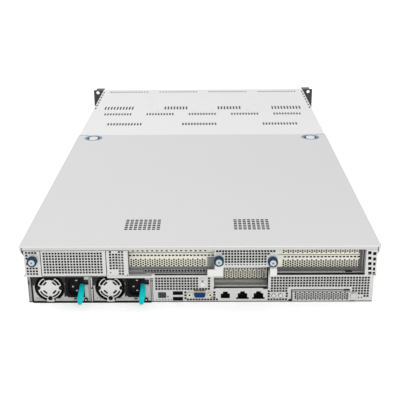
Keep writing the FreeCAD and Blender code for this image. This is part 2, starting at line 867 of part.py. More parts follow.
def cooler(side):
    """Finned processor heatsink: one block with parallel gaps sawn from the top."""
    width, length, height = cooler_size
    low = board_height()[1]
    x = around(side * cooler_x, width)
    y = around(cooler_y, length)
    pitch = (width - cooler_fin) / (cooler_fin_count - 1)
    outline = [(x[0], low), (x[1], low)]
    for i in reversed(range(cooler_fin_count)):
        fin = x[0] + i * pitch
        outline += [(fin + cooler_fin, low + height), (fin, low + height)]
        if i:
            outline += [(fin, low + cooler_base), (fin - pitch + cooler_fin, low + cooler_base)]
    return Part.Face(loop([(px, y[0], pz) for px, pz in outline])).extrude(Vector(0, length, 0))


def memory_banks():
    """Memory modules in their sockets, a bank on each side of each processor."""
    thick, length, height = memory_size
    low = board_height()[1]
    half_cooler = cooler_size[0] / 2
    bank_half = (memory_bank_count - 1) / 2 * memory_pitch
    y = around(cooler_y, length)
    modules = []
    for side in (-1, 1):
        for flank in (-1, 1):
            middle = side * cooler_x + flank * (half_cooler + bank_half + thick / 2 + memory_pitch / 2)
            for x in centred_grid(middle, memory_bank_count, memory_pitch):
                modules.append(box(around(x, thick), y, (low, low + height)))
    return modules


def fan_frame(x):
    """Square fan frame with a round bore; struts carry the square motor plate at its rear."""
    y = around(fan_y, fan_depth)
    z = (sheet, sheet + fan_size)
    middle = sum(z) / 2
    frame = box(around(x, fan_size), y, z).cut(fluted(x, y, middle, fan_bore_radius))
    plate_y = (y[0], y[0] + fan_plate)
    plate = box(around(x, 2 * fan_hub_radius), plate_y, around(middle, 2 * fan_hub_radius))
    reach = 2 * fan_bore_radius + fan_strut
    struts = [
        box(around(x, reach), plate_y, around(middle, fan_strut)),
        box(around(x, fan_strut), plate_y, around(middle, reach)),
    ]
    return frame.fuse([plate] + struts).removeSplitter()


def system_rotor(x):
    """Rotor of a system fan, in front of its motor plate."""
    low = fan_y - fan_depth / 2 + fan_plate + clearance
    y = (low, low + fan_depth - 2 * fan_plate)
    return bladed(x, y, sheet + fan_size / 2, fan_hub_radius, fan_bore_radius - clearance)


def backplane():
    """Upright board behind the drives, held against the cage's rear edge."""
    y = (cage_rear - backplane_gap - backplane_thickness, cage_rear - backplane_gap)
    board = box(around(0, bay_columns * bay_pitch_x), y, (sheet, wall_top - sheet))
    sockets = []
    for x in centred_grid(0, bay_columns, bay_pitch_x):
        for row in range(bay_rows):
            low = sheet + (row + 0.5) * bay_pitch_z
            sockets.append(box(around(x, drive_width / 2), (y[1], cage_rear), around(low, drive_height / 4)))
    return [board] + sockets


keep("chassis_base", [chassis_tub()])
keep("rear_wall", lower_rear_wall())
keep("rear_connectors", rear_sockets())
keep("riser_brackets", riser_cage_plates())
keep("slot_covers", slot_cover_set())
keep("rear_bay_cover", [perforated_bay_cover()])
keep("rear_top_cover", [rear_cover()])
keep("middle_top_cover", [middle_cover()])
keep("front_top_cover", [front_cover()])
keep("cover_latch_left", [cover_latch(-1)])
keep("cover_latch_right", [cover_latch(1)])
keep("rack_ears", [rack_ear(-1), rack_ear(1)])
keep("power_button", [front_button(1)])
keep("id_button", [front_button(-1)])
keep("motherboard", main_board())
keep("processor_heatsinks", [cooler(-1), cooler(1)])
keep("memory_modules", memory_banks())
keep("drive_cage", cage_plates())
keep("drive_backplane", backplane())
keep("network_module", network_module())
for i, place in enumerate(thumbscrew_places, start=1):
    keep("thumbscrew_" + str(i), [thumbscrew(place)])
for i, x in enumerate(rear_button_x, start=1):
    keep("rear_button_" + str(i), [rear_button(x)])
for i in range(2):
    keep("psu_case_" + str(i + 1), [psu_case(i)])
    keep("psu_lever_" + str(i + 1), [psu_lever(i)])
    keep("psu_rotor_" + str(i + 1), [psu_rotor(i)])
fan_places = centred_grid(0, fan_count, fan_pitch)
keep("fan_frames", [fan_frame(x) for x in fan_places])
for i, x in enumerate(fan_places, start=1):
    keep("fan_rotor_" + str(i), [system_rotor(x)])
for row in range(bay_rows):
    tray_low = sheet + row * bay_pitch_z + cage_plate + clearance
    for column, x in enumerate(centred_grid(0, bay_columns, bay_pitch_x)):
        place = str(row + 1) + "_" + str(column + 1)
        keep("drive_tray_" + place, drive_tray(x, tray_low))
        keep("tray_lever_" + place, [tray_lever(x, tray_low)])
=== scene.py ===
"""Two-unit rack server seen from behind: finishes and fine detail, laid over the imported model.

Modelled in millimetres in the model's own frame: X to the right seen from behind, Y towards the drive
trays, Z up. Each piece is brought to metres when it is finished.
"""

import math

import bmesh
import bpy
from mathutils import Matrix, Vector


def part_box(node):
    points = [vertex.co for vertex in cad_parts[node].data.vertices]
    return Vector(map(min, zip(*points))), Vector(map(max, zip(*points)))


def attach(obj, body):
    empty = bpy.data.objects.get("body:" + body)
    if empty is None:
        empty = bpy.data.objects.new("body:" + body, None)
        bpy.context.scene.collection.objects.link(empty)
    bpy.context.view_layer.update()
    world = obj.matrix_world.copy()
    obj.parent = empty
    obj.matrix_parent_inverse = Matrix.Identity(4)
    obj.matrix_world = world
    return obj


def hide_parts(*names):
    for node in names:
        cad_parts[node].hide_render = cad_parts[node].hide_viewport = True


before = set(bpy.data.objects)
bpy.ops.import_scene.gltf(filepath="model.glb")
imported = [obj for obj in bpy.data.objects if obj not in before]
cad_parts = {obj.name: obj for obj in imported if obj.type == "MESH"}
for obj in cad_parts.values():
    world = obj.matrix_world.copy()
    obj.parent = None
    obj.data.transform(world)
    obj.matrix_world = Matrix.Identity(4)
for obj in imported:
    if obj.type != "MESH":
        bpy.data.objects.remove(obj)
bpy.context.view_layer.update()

# Camera: it stands behind the server and a little to the right, at eye height over a table, and looks
# down on the rear edge of the cover. Its place was fitted to the photograph's edges, for this length.
picture_width = 400
sensor_width = 36.0
camera_place = Vector((0.010845, -1.28754, 0.48098))
camera_pitch = math.radians(20.823)
camera_yaw = math.radians(-0.6407)
camera_roll = math.radians(-0.4643)
focal_pixels = 783.84
centre_shift_pixels = -2.535
ahead = Vector((
    math.sin(camera_yaw) * math.cos(camera_pitch),
    math.cos(camera_yaw) * math.cos(camera_pitch),
    -math.sin(camera_pitch),
))
level_right = Vector((math.cos(camera_yaw), -math.sin(camera_yaw), 0))
level_up = level_right.cross(ahead)
right = math.cos(camera_roll) * level_right + math.sin(camera_roll) * level_up
upward = math.cos(camera_roll) * level_up - math.sin(camera_roll) * level_right
camera = bpy.data.objects.new("camera", bpy.data.cameras.new("camera"))
camera.data.sensor_width = sensor_width
camera.data.lens = focal_pixels * sensor_width / picture_width
camera.data.shift_y = centre_shift_pixels / picture_width
camera.data.clip_end = 50
turn = Matrix((right, upward, -ahead)).transposed().to_4x4()
camera.matrix_world = Matrix.Translation(camera_place) @ turn
bpy.context.scene.collection.objects.link(camera)
bpy.context.scene.camera = camera

# Studio: an even white surround, a wide soft lamp overhead and a weaker one beside the camera. The
# ground is white paper that takes the server's shadow.
surround_light = 0.62
paper_size = 12.0
paper_glow = 0.42


def feed(tree, shader, inputs):
    """Sets inputs of a node, each to a value or to another node's output."""
    for key, value in inputs.items():
        if isinstance(value, bpy.types.NodeSocket):
            tree.links.new(value, shader.inputs[key])
        else:
            shader.inputs[key].default_value = value
    return shader


def node(tree, kind, inputs, **settings):
    """New shader node with its settings and inputs."""
    made = tree.nodes.new("ShaderNode" + kind)
    for key, value in settings.items():
        setattr(made, key, value)
    return feed(tree, made, inputs)


def seen_directly(tree):
    """Output that is 1 for what the camera, a gloss or a glass sees, and 0 for what lights a surface."""
    path = node(tree, "LightPath", {}).outputs
    first = node(tree, "Math", {0: path["Is Camera Ray"], 1: path["Is Glossy Ray"]}, operation="MAXIMUM")
    both = {0: first.outputs[0], 1: path["Is Transmission Ray"]}
    return node(tree, "Math", both, operation="MAXIMUM").outputs[0]


def lamp(name, place, aim, size, power):
    """Square soft lamp that points at aim."""
    data = bpy.data.lights.new(name, "AREA")
    data.shape = "SQUARE"
    data.size = size
    data.energy = power
    thing = bpy.data.objects.new(name, data)
    direction = Vector(aim) - Vector(place)
    thing.matrix_world = Matrix.Translation(place) @ direction.to_track_quat("-Z", "Y").to_matrix().to_4x4()
    bpy.context.scene.collection.objects.link(thing)


bpy.context.scene.view_settings.view_transform = "Standard"
world = bpy.data.worlds.new("white surround")
world.use_nodes = True
bpy.context.scene.world = world
sky = world.node_tree
seen = {"Value": seen_directly(sky), "To Min": surround_light, "To Max": 1.0}
strength = node(sky, "MapRange", seen).outputs[0]
feed(sky, sky.nodes["Background"], {"Color": (1, 1, 1, 1), "Strength": strength})
lamp("overhead lamp", (-1.1, 0.2, 2.1), (0, 0, 0), 1.8, 15)
lamp("camera side lamp", (0.5, -2.4, 1.0), (0, -0.3, 0), 1.2, 19)

ground = bmesh.new()
bmesh.ops.create_grid(ground, x_segments=1, y_segments=1, size=paper_size)
ground_mesh = bpy.data.meshes.new("paper")
ground.to_mesh(ground_mesh)
ground.free()
paper = bpy.data.materials.new("white paper")
paper.use_nodes = True
grain_tree = paper.node_tree
glow = node(grain_tree, "Math", {0: seen_directly(grain_tree), 1: paper_glow}, operation="MULTIPLY")
feed(grain_tree, grain_tree.nodes["Principled BSDF"], {
    "Base Color": (0.9, 0.9, 0.9, 1), "Roughness": 0.95, "Specular IOR Level": 0.0,
    "Emission Color": (1, 1, 1, 1), "Emission Strength": glow.outputs[0],
})
ground_mesh.materials.append(paper)
floor = bpy.data.objects.new("floor", ground_mesh)
bpy.context.scene.collection.objects.link(floor)

# Tub: zinc-plated sheet steel, folded up at both sides. Shouldered studs for the slide rails are
# riveted into the side walls.
MM = 0.001
half_width = 219.2
stud_z = 44
gloss_drift = 0.07
grain_depth = 0.0003


def finish(name, colour, other, metallic, roughness, cloud=14.0, grain=900.0, relief=0.05, stretch=(1, 1, 1),
           specular=0.5):
    """Surface whose tone drifts between two colours, with a fine grain in its gloss and relief."""
    material = bpy.data.materials.new(name)
    material.use_nodes = True
    tree = material.node_tree
    where = node(tree, "TexCoord", {}).outputs["Object"]
    placed = node(tree, "Mapping", {"Vector": where, "Scale": stretch}).outputs[0]
    drift = node(tree, "TexNoise", {"Vector": placed, "Scale": cloud, "Detail": 4}).outputs["Fac"]
    fine = node(tree, "TexNoise", {"Vector": placed, "Scale": grain, "Detail": 2}).outputs["Fac"]
    tone = node(tree, "Mix", {"Factor": drift, "A": (*colour, 1), "B": (*other, 1)}, data_type="RGBA")
    gloss = node(tree, "MapRange", {
        "Value": fine, "To Min": roughness - gloss_drift, "To Max": roughness + gloss_drift})
    bump = node(tree, "Bump", {"Height": fine, "Strength": relief, "Distance": grain_depth})
    feed(tree, tree.nodes["Principled BSDF"], {
        "Metallic": metallic, "Specular IOR Level": specular, "Base Color": tone.outputs["Result"],
        "Roughness": gloss.outputs[0], "Normal": bump.outputs[0],
    })
    return material


def paint(name, material):
    """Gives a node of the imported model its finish."""
    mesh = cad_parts[name].data
    mesh.materials.clear()
    mesh.materials.append(material)


def bar(bm, middle, length, radius, sides=24, tip=None, bearing=0, axis="X"):
    """Round bar, upright or turned about an axis. Its far end has its own radius if tip is given."""
    bmesh.ops.create_cone(
        bm, cap_ends=True, segments=sides, radius1=radius, radius2=radius if tip is None else tip,
        depth=length, matrix=Matrix.Translation(middle) @ Matrix.Rotation(math.radians(bearing), 4, axis),
    )


def rod(bm, x, y, z, radius, sides=24, tip=None):
    """Round bar along Y between the two limits of y."""
    bar(bm, (x, sum(y) / 2, z), y[1] - y[0], radius, sides, tip, -90)


def pin(bm, x, y, z, radius, sides=24, tip=None):
    """Round bar that stands up between the two limits of z."""
    bar(bm, (x, y, sum(z) / 2), z[1] - z[0], radius, sides, tip)


def block(bm, x, y, z, rounding=0.0, segments=2):
    """Block between the limits on each axis, its edges rounded if asked."""
    limits = (x, y, z)
    middle = Vector([sum(span) / 2 for span in limits])
    size = Vector([span[1] - span[0] for span in limits])
    verts = bmesh.ops.create_cube(
        bm, size=1.0, matrix=Matrix.Translation(middle) @ Matrix.Diagonal(size.to_4d())
    )["verts"]
    if rounding:
        edges = list({edge for vert in verts for edge in vert.link_edges})
        bmesh.ops.bevel(
            bm, geom=edges, offset=rounding, segments=segments, profile=0.5, affect="EDGES", material=-1
        )


def blocks(bm, *rows):
    """Blocks, each with its limits and, where it is rounded, its rounding and segments."""
    for row in rows:
        block(bm, *row)


def piece(name, bm, material, body="chassis", smooth=False, replaces=()):
    """Brings the finished work to metres, and lets it ride on its body."""
    bmesh.ops.scale(bm, vec=(MM, MM, MM), verts=bm.verts)
    mesh = bpy.data.meshes.new(name)
    bm.to_mesh(mesh)
    bm.free()
    mesh.materials.append(material)
    if smooth:
        mesh.shade_smooth()
        mesh.set_sharp_from_angle(angle=math.radians(35))
    thing = bpy.data.objects.new(name, mesh)
    bpy.context.scene.collection.objects.link(thing)
    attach(thing, body)
    if replaces:
        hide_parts(*replaces)


def plain(name, material, slot, *rows, body="chassis", smooth=False):
    """Piece made of blocks only."""
    bm = bmesh.new()
    blocks(bm, *rows)
    piece(name, bm, material, body, smooth)


tub_zinc = finish("zinc-plated tub", (0.66, 0.66, 0.65), (0.58, 0.58, 0.575), 0.45, 0.42)
paint("chassis_base", tub_zinc)
studs = bmesh.new()
for side in (-1, 1):
    for y in (-330, -120, 90, 300):
        for out, depth, radius in ((1.4, 2.8, 2.6), (2.6, 0.8, 4.4)):
            bar(studs, (side * (half_width + out), y, stud_z), depth, radius, bearing=90, axis="Y")
piece("rail_studs", studs, tub_zinc, smooth=True)

# Rear wall: one zinc-plated sheet with punched windows for the supplies, sockets and the network card,
# and fields of square air holes. The supplies' shelf and bay walls and the low window's floor are
# riveted to it.
wall_y = -398.0
wall_low = 1.2
sill = 45
shelf_top = 46.2
plate_y = -416.0
supply_end = -213
sheet = 1.2
skin = 0.7
low_window = (17.6, 86.4)
low_inside = (17.8, 86.2)
low_floor = 20.6
bay_top = 44.8
fine_pitch = 3.69
fine_hole = 2.8
psu_middles = (-176.75, -99.65)
psu_half = 36.75
display_x, display_z = -48.35, 9.65
usb_middle = -28.3
usb_heights = (4.45, 12.55)
network_middles = (32.2, 54.0, 74.3)
network_widths = (14.0, 16.4, 16.4)
button_places = (93.7, 102.5)
button_z = 9.0


def rectangle(u, v, width, height):
    """Corners of a rectangle round its middle."""
    return [(u + a * width / 2, v + b * height / 2) for a, b in ((-1, -1), (1, -1), (1, 1), (-1, 1))]


def between(u, v):
    """Corners of a rectangle between the limits of u and v."""
    return rectangle(sum(u) / 2, sum(v) / 2, u[1] - u[0], v[1] - v[0])


def circle(u, v, radius, count, start=0.0):
    """Corners of a regular polygon round its middle."""
    angles = [start + math.tau * i / count for i in range(count)]
    return [(u + radius * math.cos(a), v + radius * math.sin(a)) for a in angles]


def field(u, v, columns, rows, pitch=fine_pitch):
    """Middles of holes in columns to the right and rows downwards from the first one."""
    return [(u + i * pitch, v - j * pitch) for i in range(columns) for j in range(rows)]


def squares(middles, size=fine_hole):
    """Square holes at those middles."""
    return [rectangle(u, v, size, size) for u, v in middles]


def pierced(bm, outline, holes, place, thickness):
    """Flat sheet of that outline with holes, drawn at place and given its thickness along a vector."""
    edges = []
    for ring in [outline] + holes:
        verts = [bm.verts.new(place(u, v)) for u, v in ring]
        edges += [bm.edges.new(pair) for pair in zip(verts, verts[1:] + verts[:1])]
    normal = -Vector(thickness).normalized()
    filled = bmesh.ops.triangle_fill(bm, edges=edges, use_beauty=True, normal=normal)["geom"]
    faces = [part for part in filled if isinstance(part, bmesh.types.BMFace)]
    grown = bmesh.ops.extrude_face_region(bm, geom=faces, use_keep_orig=True)["geom"]
    far = [part for part in grown if isinstance(part, bmesh.types.BMVert)]
    bmesh.ops.translate(bm, verts=far, vec=thickness)
    bmesh.ops.recalc_face_normals(bm, faces=bm.faces[:])


def standing(bm, outline, holes, y, thickness=skin):
    """Sheet across the server, drawn in X and Z at y and thick towards the front."""
    pierced(bm, outline, holes, lambda u, v: (u, y, v), (0, thickness, 0))


def lying(bm, outline, holes, z, thickness):
    """Sheet that lies level, drawn in X and Y at z and thick downwards."""
    pierced(bm, outline, holes, lambda u, v: (u, v, z), (0, 0, -thickness))


wall_outline = [(-218, wall_low), (218, wall_low), (218, sill), (low_window[1], sill),
                (low_window[1], low_floor), (low_window[0], low_floor), (low_window[0], sill), (-218, sill)]
network_windows = [rectangle(x, 9.45, width, 11.3) for x, width in zip(network_middles, network_widths)]
wall_holes = [rectangle(x, 21.6, 2 * psu_half + 0.6, 40.4) for x in psu_middles]
wall_holes.append(rectangle(display_x, display_z, 10.3, 8.1))
wall_holes += [rectangle(usb_middle, z, 12.8, 5.1) for z in usb_heights]
wall_holes.append(rectangle(-0.8, 11.1, 15.0, 8.6))
wall_holes += network_windows + [circle(x, button_z, 3.15, 24) for x in button_places]
wall_holes.append(rectangle(154.1, 8.1, 73.0, 13.3))
air_holes = field(-55.4, 33.1, 15, 5) + field(0.1, 18.3, 4, 1) + field(11.5, 33.1, 1, 4)
air_holes += field(-18.7, 13.4, 1, 3, 4.2) + field(-15.6, 3.2, 11, 1) + field(14.6, 7.0, 1, 1)
air_holes += field(91.2, 33.5, 34, 4) + field(91.2, 18.7, 6, 2) + field(87.4, 14.8, 1, 3)
air_holes += field(110.4, 11.4, 1, 2) + field(87.4, 3.2, 7, 1) + field(194.5, 18.7, 6, 2)
air_holes += field(201.9, 11.3, 4, 1) + field(209.3, 7.6, 2, 1) + field(18.2, 13.4, 1, 3, 3.65)
small_holes = squares([(201.9, 5.6), (205.6, 5.6)], 1.7) + squares(field(-55.2, 2.9, 6, 1), 1.4)
wall = bmesh.new()
standing(wall, wall_outline, wall_holes + squares(air_holes) + small_holes, wall_y)
block(wall, (-218, -61.4), (plate_y, supply_end), (sill, shelf_top))
block(wall, low_window, (-396.8, -375), (low_floor - sheet, low_floor))
for low in (-138.8, -62.6):
    block(wall, (low, low + sheet), (wall_y + skin, supply_end), (wall_low, sill))
panel_zinc = finish("zinc-plated panel", (0.68, 0.68, 0.67), (0.62, 0.62, 0.61), 0.3, 0.45)
piece("rear_wall_sheet", wall, panel_zinc, replaces=["rear_wall"])

shaded_zinc = finish("shaded zinc", (0.36, 0.365, 0.36), (0.28, 0.285, 0.28), 0.2, 0.5)
# Painted shade: strips of darker zinc down the left edge of the first supply bay and beside its divider.
plain("bay_edges", shaded_zinc, "bracket_steel",
      ((-217.6, -214.9), (-398.3, wall_y), (wall_low, bay_top)),
      ((-141.6, -139.6), (-398.3, wall_y), (wall_low, bay_top)))

# Painted shade behind the air holes: a black sheet that shuts the view into the chassis.
black_and_painted_shade = finish("black and painted shade", (0.012, 0.012, 0.013), (0.02, 0.02, 0.021), 0.0, 0.9,
                      relief=0.2, specular=0.12)
shade_behind_holes = (
    ((-58, 15.5), (16.4, 44)), ((-21, -16.9), (1.6, 15.4)), ((-16.9, 24.6), (1.4, 5.2)),
    ((12.8, 20.6), (5.2, 16.4)), ((88.8, 217.5), (16.6, 44)), ((85.8, 89.4), (1.4, 16.6)),
    ((108.6, 112.2), (5, 16.6)), ((89.4, 111.4), (1.4, 5.0)), ((200, 215.5), (4, 16.6)),
    ((193, 200), (13, 16.6)), ((-58, -35), (1.4, 4.4)),
)
plain("air_hole_shade", black_and_painted_shade, "ear_black", *((x, (-397.1, -396.9), z) for x, z in shade_behind_holes))

# Marks on the wall: a cross-head screw that holds the shelf and a small one by the network card, in
# bright steel. Black stands for the indicator beside the code display, and is painted shade in the screw's
# recess, in the gaps beside the bays, under the bay cover and under the wall.
silver = finish("bright steel", (0.74, 0.74, 0.73), (0.62, 0.62, 0.61), 0.6, 0.3)
shelf_screw = (3.2, 29.7)


def about(middle, half):
    """Limits that lie half a size to both sides of a middle."""
    return middle - half, middle + half


def cross_recess(bm, x, y, z, size):
    """Two crossed bars that stand for the recess in a screw's head; their dark finish is painted shade."""
    for bearing in (45, 135):
        arm = bmesh.ops.create_cube(bm, size=1.0, matrix=Matrix.Diagonal((*size, 1)))["verts"]
        bmesh.ops.rotate(bm, verts=arm, matrix=Matrix.Rotation(math.radians(bearing), 3, "Y"))
        bmesh.ops.translate(bm, verts=arm, vec=(x, y, z))


marks = bmesh.new()
rod(marks, shelf_screw[0], (-399.3, wall_y), shelf_screw[1], 3.1, tip=3.4)
rod(marks, 186.0, (-398.6, wall_y), 6.5, 1.6)
piece("wall_fasteners", marks, silver, smooth=True)
recess_and_gap_shade = bmesh.new()
cross_recess(recess_and_gap_shade, shelf_screw[0], -399.4, shelf_screw[1], (3.8, 0.3, 0.75))
rod(recess_and_gap_shade, -41.0, (-398.3, wall_y), 7.6, 0.9, sides=12)
blocks(recess_and_gap_shade, ((-218.1, -216.5), (-398.4, wall_y), (24.6, 31.0)),
       ((17.2, 19.6), (-398.3, wall_y), (18.6, 20.5)))
for x, half in ((-217.9, 0.3), (-214.1, 0.7), (-138.9, 0.35), (-62.0, 0.35), (-60.2, 0.35)):
    block(recess_and_gap_shade, about(x, half), (-398.25, wall_y), (wall_low, bay_top))
for x, z in ((-60.6, 33.6), (-60.6, 29.8), (-137.6, 36.0), (-137.6, 20.0)):
    block(recess_and_gap_shade, about(x, 0.8), (-398.3, wall_y), about(z, 0.8))
blocks(recess_and_gap_shade, ((-219, 219), (-398.4, -397.9), (-0.05, 0.9)), ((-213, -62), (-400.3, -398.4), (-0.05, 0.7)),
       ((-195, -115.2), (-416.3, -416), (45.4, 46.1)))
piece("wall_gap_shade_and_indicator", recess_and_gap_shade, black_and_painted_shade)

# Sockets: pressed steel shells behind the wall's windows, with black moulded bodies and gold contacts.
# Two USB, one 15-pin video with a blue body and two hexagonal posts, three network. The black bodies
# take in the code display's.
socket_black = finish("black moulded body", (0.006, 0.006, 0.0065), (0.012, 0.012, 0.0125), 0.0, 0.6,
                      specular=0.08)
contact_gold = finish("gold contacts", (0.62, 0.42, 0.16), (0.5, 0.34, 0.12), 0.9, 0.35)
video_blue = finish("blue moulded body", (0.005, 0.042, 0.17), (0.008, 0.055, 0.21), 0.0, 0.4, specular=0.12)
post_brass = finish("nickel-washed posts", (0.84, 0.79, 0.65), (0.74, 0.69, 0.56), 0.2, 0.35)
usb_depth = 14.0
narrow_steps = ((5.8, 11.9), (3.1, 14.6))
wide_steps = ((8.0, 6.5), (6.1, 12.2), (3.6, 12.9), (2.9, 14.9))
network_openings = ((5.1, narrow_steps), (4.0, wide_steps), (4.0, wide_steps))
video_x, video_z = -0.4, 11.7


def dee(width, height, corner, cut=1.2):
    """Outline of the video socket: its lower side is the shorter, and its corners are cut."""
    w, h, c = width / 2, height / 2, corner
    return [(video_x + u, video_z + v) for u, v in (
        (-w + c, h), (-w, h - c), (-w + cut - 0.2, -h + c), (-w + cut + c, -h),
        (w - cut - c, -h), (w - cut + 0.2, -h + c), (w, h - c), (w - c, h),
    )]


shells = bmesh.new()
bodies = bmesh.new()
contacts = bmesh.new()
for z in usb_heights:
    standing(bodies, rectangle(usb_middle, z, 12.8, 5.1), [rectangle(usb_middle, z, 11.6, 4.4)],
             -398.3, usb_depth)
    blocks(bodies, (about(usb_middle, 6.0), (-384.5, -384.0), about(z, 2.2)),
           (about(usb_middle, 5.2), (-397.6, -384.4), (z - 0.1, z + 1.4)))
    for i in range(4):
        x = usb_middle - 3.5 + 7 / 3 * i
        block(contacts, about(x, 0.5), (-397.2, -385), (z - 0.25, z - 0.1))
network_sockets = zip(network_middles, network_widths, network_windows, network_openings)
for x, width, window, (foot, steps) in network_sockets:
    feet = (foot, *(top for half, top in steps))
    side = [(half, z) for (half, top), bottom in zip(steps, feet) for z in (bottom, top)]
    opening = [(x + u, z) for u, z in side] + [(x - u, z) for u, z in reversed(side)]
    standing(shells, window, [opening], -398.4, 0.5)
    standing(bodies, window, [opening], -397.9, 13.5)
    block(bodies, about(x, width / 2), (-384.6, -383.6), (3.9, 15.0))
    for i in range(8):
        u = x - 3.57 + 1.02 * i
        block(contacts, about(u, 0.15), (-390.5, -386), (5.1, 5.3))
piece("socket_shells", shells, silver)
flange = bmesh.new()
standing(flange, between(about(video_x, 10.2), (video_z - 5.6, video_z + 5.4)),
         [dee(15.4, 7.8, 1.4)], -398.8)
piece("video_flange", flange, panel_zinc)
hood_brass = finish("brassy hood", (0.80, 0.68, 0.46), (0.70, 0.60, 0.42), 0.2, 0.4)
hood = bmesh.new()
standing(hood, dee(16.2, 8.7, 1.6), [dee(15.4, 7.8, 1.4)], -402.2, 3.6)
piece("video_hood", hood, hood_brass)
block(bodies, about(video_x, 7.6), (-398.9, -398.3), (video_z + 4.6, video_z + 5.4))
insert = bmesh.new()
pin_places = [(video_x - 4.9 + 2.3 * i + shift, video_z + v)
              for v, shift in ((2.0, 0.2), (0.0, 1.1), (-2.0, 0.2)) for i in range(5)]
standing(insert, dee(15.3, 7.7, 1.3), [circle(u, v, 0.45, 8) for u, v in pin_places], -401.6, 11.6)
piece("video_insert", insert, video_blue)
posts = bmesh.new()
for x in (-13.2, 13.0):
    bar(posts, (x, -400.2, video_z), 4.4, 3.2, sides=6, bearing=90)
    rod(bodies, x, (-402.5, -402.3), video_z, 1.3, sides=16)
block(bodies, about(video_x, 7), (-390.2, -389.6), about(video_z, 3.6))
piece("video_posts", posts, post_brass)
piece("socket_contacts", contacts, contact_gold)
block(bodies, about(display_x, 5.1), (-398.3, -383), about(display_z, 4.0), 0.2)
piece("socket_bodies", bodies, socket_black, replaces=["rear_connectors"])

# Code display: two seven-stroke digits under a smoked window, soldered to the main board.
strokes = bmesh.new()
for x in (display_x - 2.45, display_x + 2.45):
    for z in (-2.9, 0, 2.9):
        block(strokes, about(x, 1.15), (-398.5, -398.3), about(display_z + z, 0.35))
    for u in (-1.55, 1.55):
        for z in (-1.45, 1.45):
            block(strokes, about(x + u, 0.35), (-398.5, -398.3),
                  about(display_z + z, 1.05))
unlit = finish("unlit strokes", (0.16, 0.165, 0.17), (0.12, 0.125, 0.13), 0.0, 0.5)
piece("display_strokes", strokes, unlit)

# Upper rear brackets: three perforated zinc-plated plates and a centre panel that close the riser
# space, with cage walls and floors folded from the same sheet. The thumbscrews go through them.
big_hole = 2.7
plate_top = 80
backing_top = 79.6
cage_end = -226
left_window = (-88.0, 18.4)
right_window = (94.9, 203.7)
screw_places = ((-205.4, 67.4), (23.7, 67.3), (89.7, 66.1))
screw_holes = [circle(*place, 2.6, 16) for place in screw_places]
brackets = bmesh.new()
left_holes = [(-212.6 + 3.75 * i, z) for i in range(4) for z in (77.6, 56.5, 52.6, 48.8)]
left_holes += [(-212.6, z) for z in (73.8, 70.0, 62.5)]
standing(brackets, rectangle(-206, 63.1, 20, 33.8), squares(left_holes, big_hole) + screw_holes[:1], plate_y)
middle_outline = [(-114.6, shelf_top), (-91.0, shelf_top), (-88.0, 49.2), (-88.0, plate_top),
                  (-114.6, plate_top)]
middle_holes = [(-109.7, 78.4 - fine_pitch * j) for j in range(7)]
middle_holes += [(x, 75.0 - fine_pitch * j) for x in (-105.9, -102.2) for j in range(6)]
middle_holes += [(x, 78.4 - fine_pitch * j) for x in (-98.6, -94.9) for j in range(9)]
standing(brackets, middle_outline, squares(middle_holes, big_hole) + [circle(-110, 50.6, 0.9, 10)], plate_y)
block(brackets, (-195.6, -115.0), (-414.4, -413.2), (shelf_top, 47.4))
centre_holes = [(32.6 + fine_pitch * i, 71.8 - 3.55 * j) for i in range(14) for j in range(3)]
centre_holes += [(28.9 + fine_pitch * i, 75.5) for i in range(16)]
centre_holes += [(21.5 + 3.67 * i, 79.0) for i in range(20)]
foot_holes = [(32.6 + fine_pitch * i, 61.0) for i in range(14)]
standing(brackets, between((18.4, 95.6), (57.7, 81)),
         squares(centre_holes) + squares(foot_holes, 1.9) + screw_holes[1:], plate_y)
block(brackets, (86.8, 94.9), (-416.6, -414.8), (45.4, 57.4), 0.3)
right_holes = [(207.8, 76.3), (208.3, 69.1), (208.8, 61.8), (209.2, 55.1), (209.7, 48.7),
               (213.9, 75.2), (214.5, 67.9), (215.0, 61.2), (215.2, 54.4), (215.2, 48.3)]
standing(brackets, between((203.7, 217.4), (shelf_top, 80.6)), squares(right_holes, 4.2), plate_y)
for low, foot in ((-89.2, shelf_top), (18.4, 57.7), (93.7, shelf_top), (203.7, shelf_top)):
    block(brackets, (low, low + sheet), (-414.8, cage_end), (foot, plate_top))
for span in ((-61.4, low_window[0]), (low_window[1], 218)):
    block(brackets, span, (plate_y, cage_end), (sill, shelf_top))
block(brackets, (-114.5, -55.5), (-417.2, plate_y), (43.4, 46.0), 0.4)
rod(brackets, -57.6, (-417.6, plate_y), 46.6, 2.2, sides=20)
piece("bracket_plates", brackets, panel_zinc, replaces=["riser_brackets"])

# White castings: a foot that hooks the centre panel onto the sill, a cap on the column at the panel's
# right end, and a rivet under the wall's screw.
cast_white = finish("white-painted casting", (0.83, 0.83, 0.82), (0.78, 0.78, 0.77), 0.0, 0.5)
tab = bmesh.new()
blocks(tab, ((9.3, 29.0), (-418.0, -414.8), (45.2, 54.8), 1.2, 3),
       ((18.4, 29.4), (-417.4, -414.8), (52.5, 61.0), 1.0, 3))
rod(tab, shelf_screw[0], (-399.2, wall_y), 24.8, 2.4)
block(tab, (86.4, 95.3), (-417.6, -416.2), (45.6, 56.0), 0.6, 3)
piece("white_tab", tab, cast_white, smooth=True)

# Behind the plates: black painted shade behind their holes, and grey painted shade behind the middle
# bracket's right-hand holes and behind the lowest holes of the centre panel.
plain("plate_hole_shade", black_and_painted_shade, "ear_black",
      ((-215.5, -196.2), (-411, -410), (46.4, backing_top)), ((-194.4, -116.2), (-408, -407), (47.6, 79.2)),
      ((-114, -100.4), (-411, -410), (46.4, backing_top)), ((20, 93.4), (-413.4, -412.4), (58.4, 79.8)),
      ((206.5, 217.2), (-411, -410), (46.4, 80.4)))
grey_painted_shade = finish("grey painted shade in holes and recesses", (0.15, 0.15, 0.15), (0.10, 0.10, 0.10), 0.3, 0.5)
plain("bracket_hole_shade", grey_painted_shade, "bracket_steel",
      ((-100.2, -89.4), (-413.6, -412.8), (46.4, backing_top)), ((31, 44), (-414.2, -413.6), (59.6, 62.0)),
      ((60, 82), (-414.2, -413.6), (59.6, 62.0)))

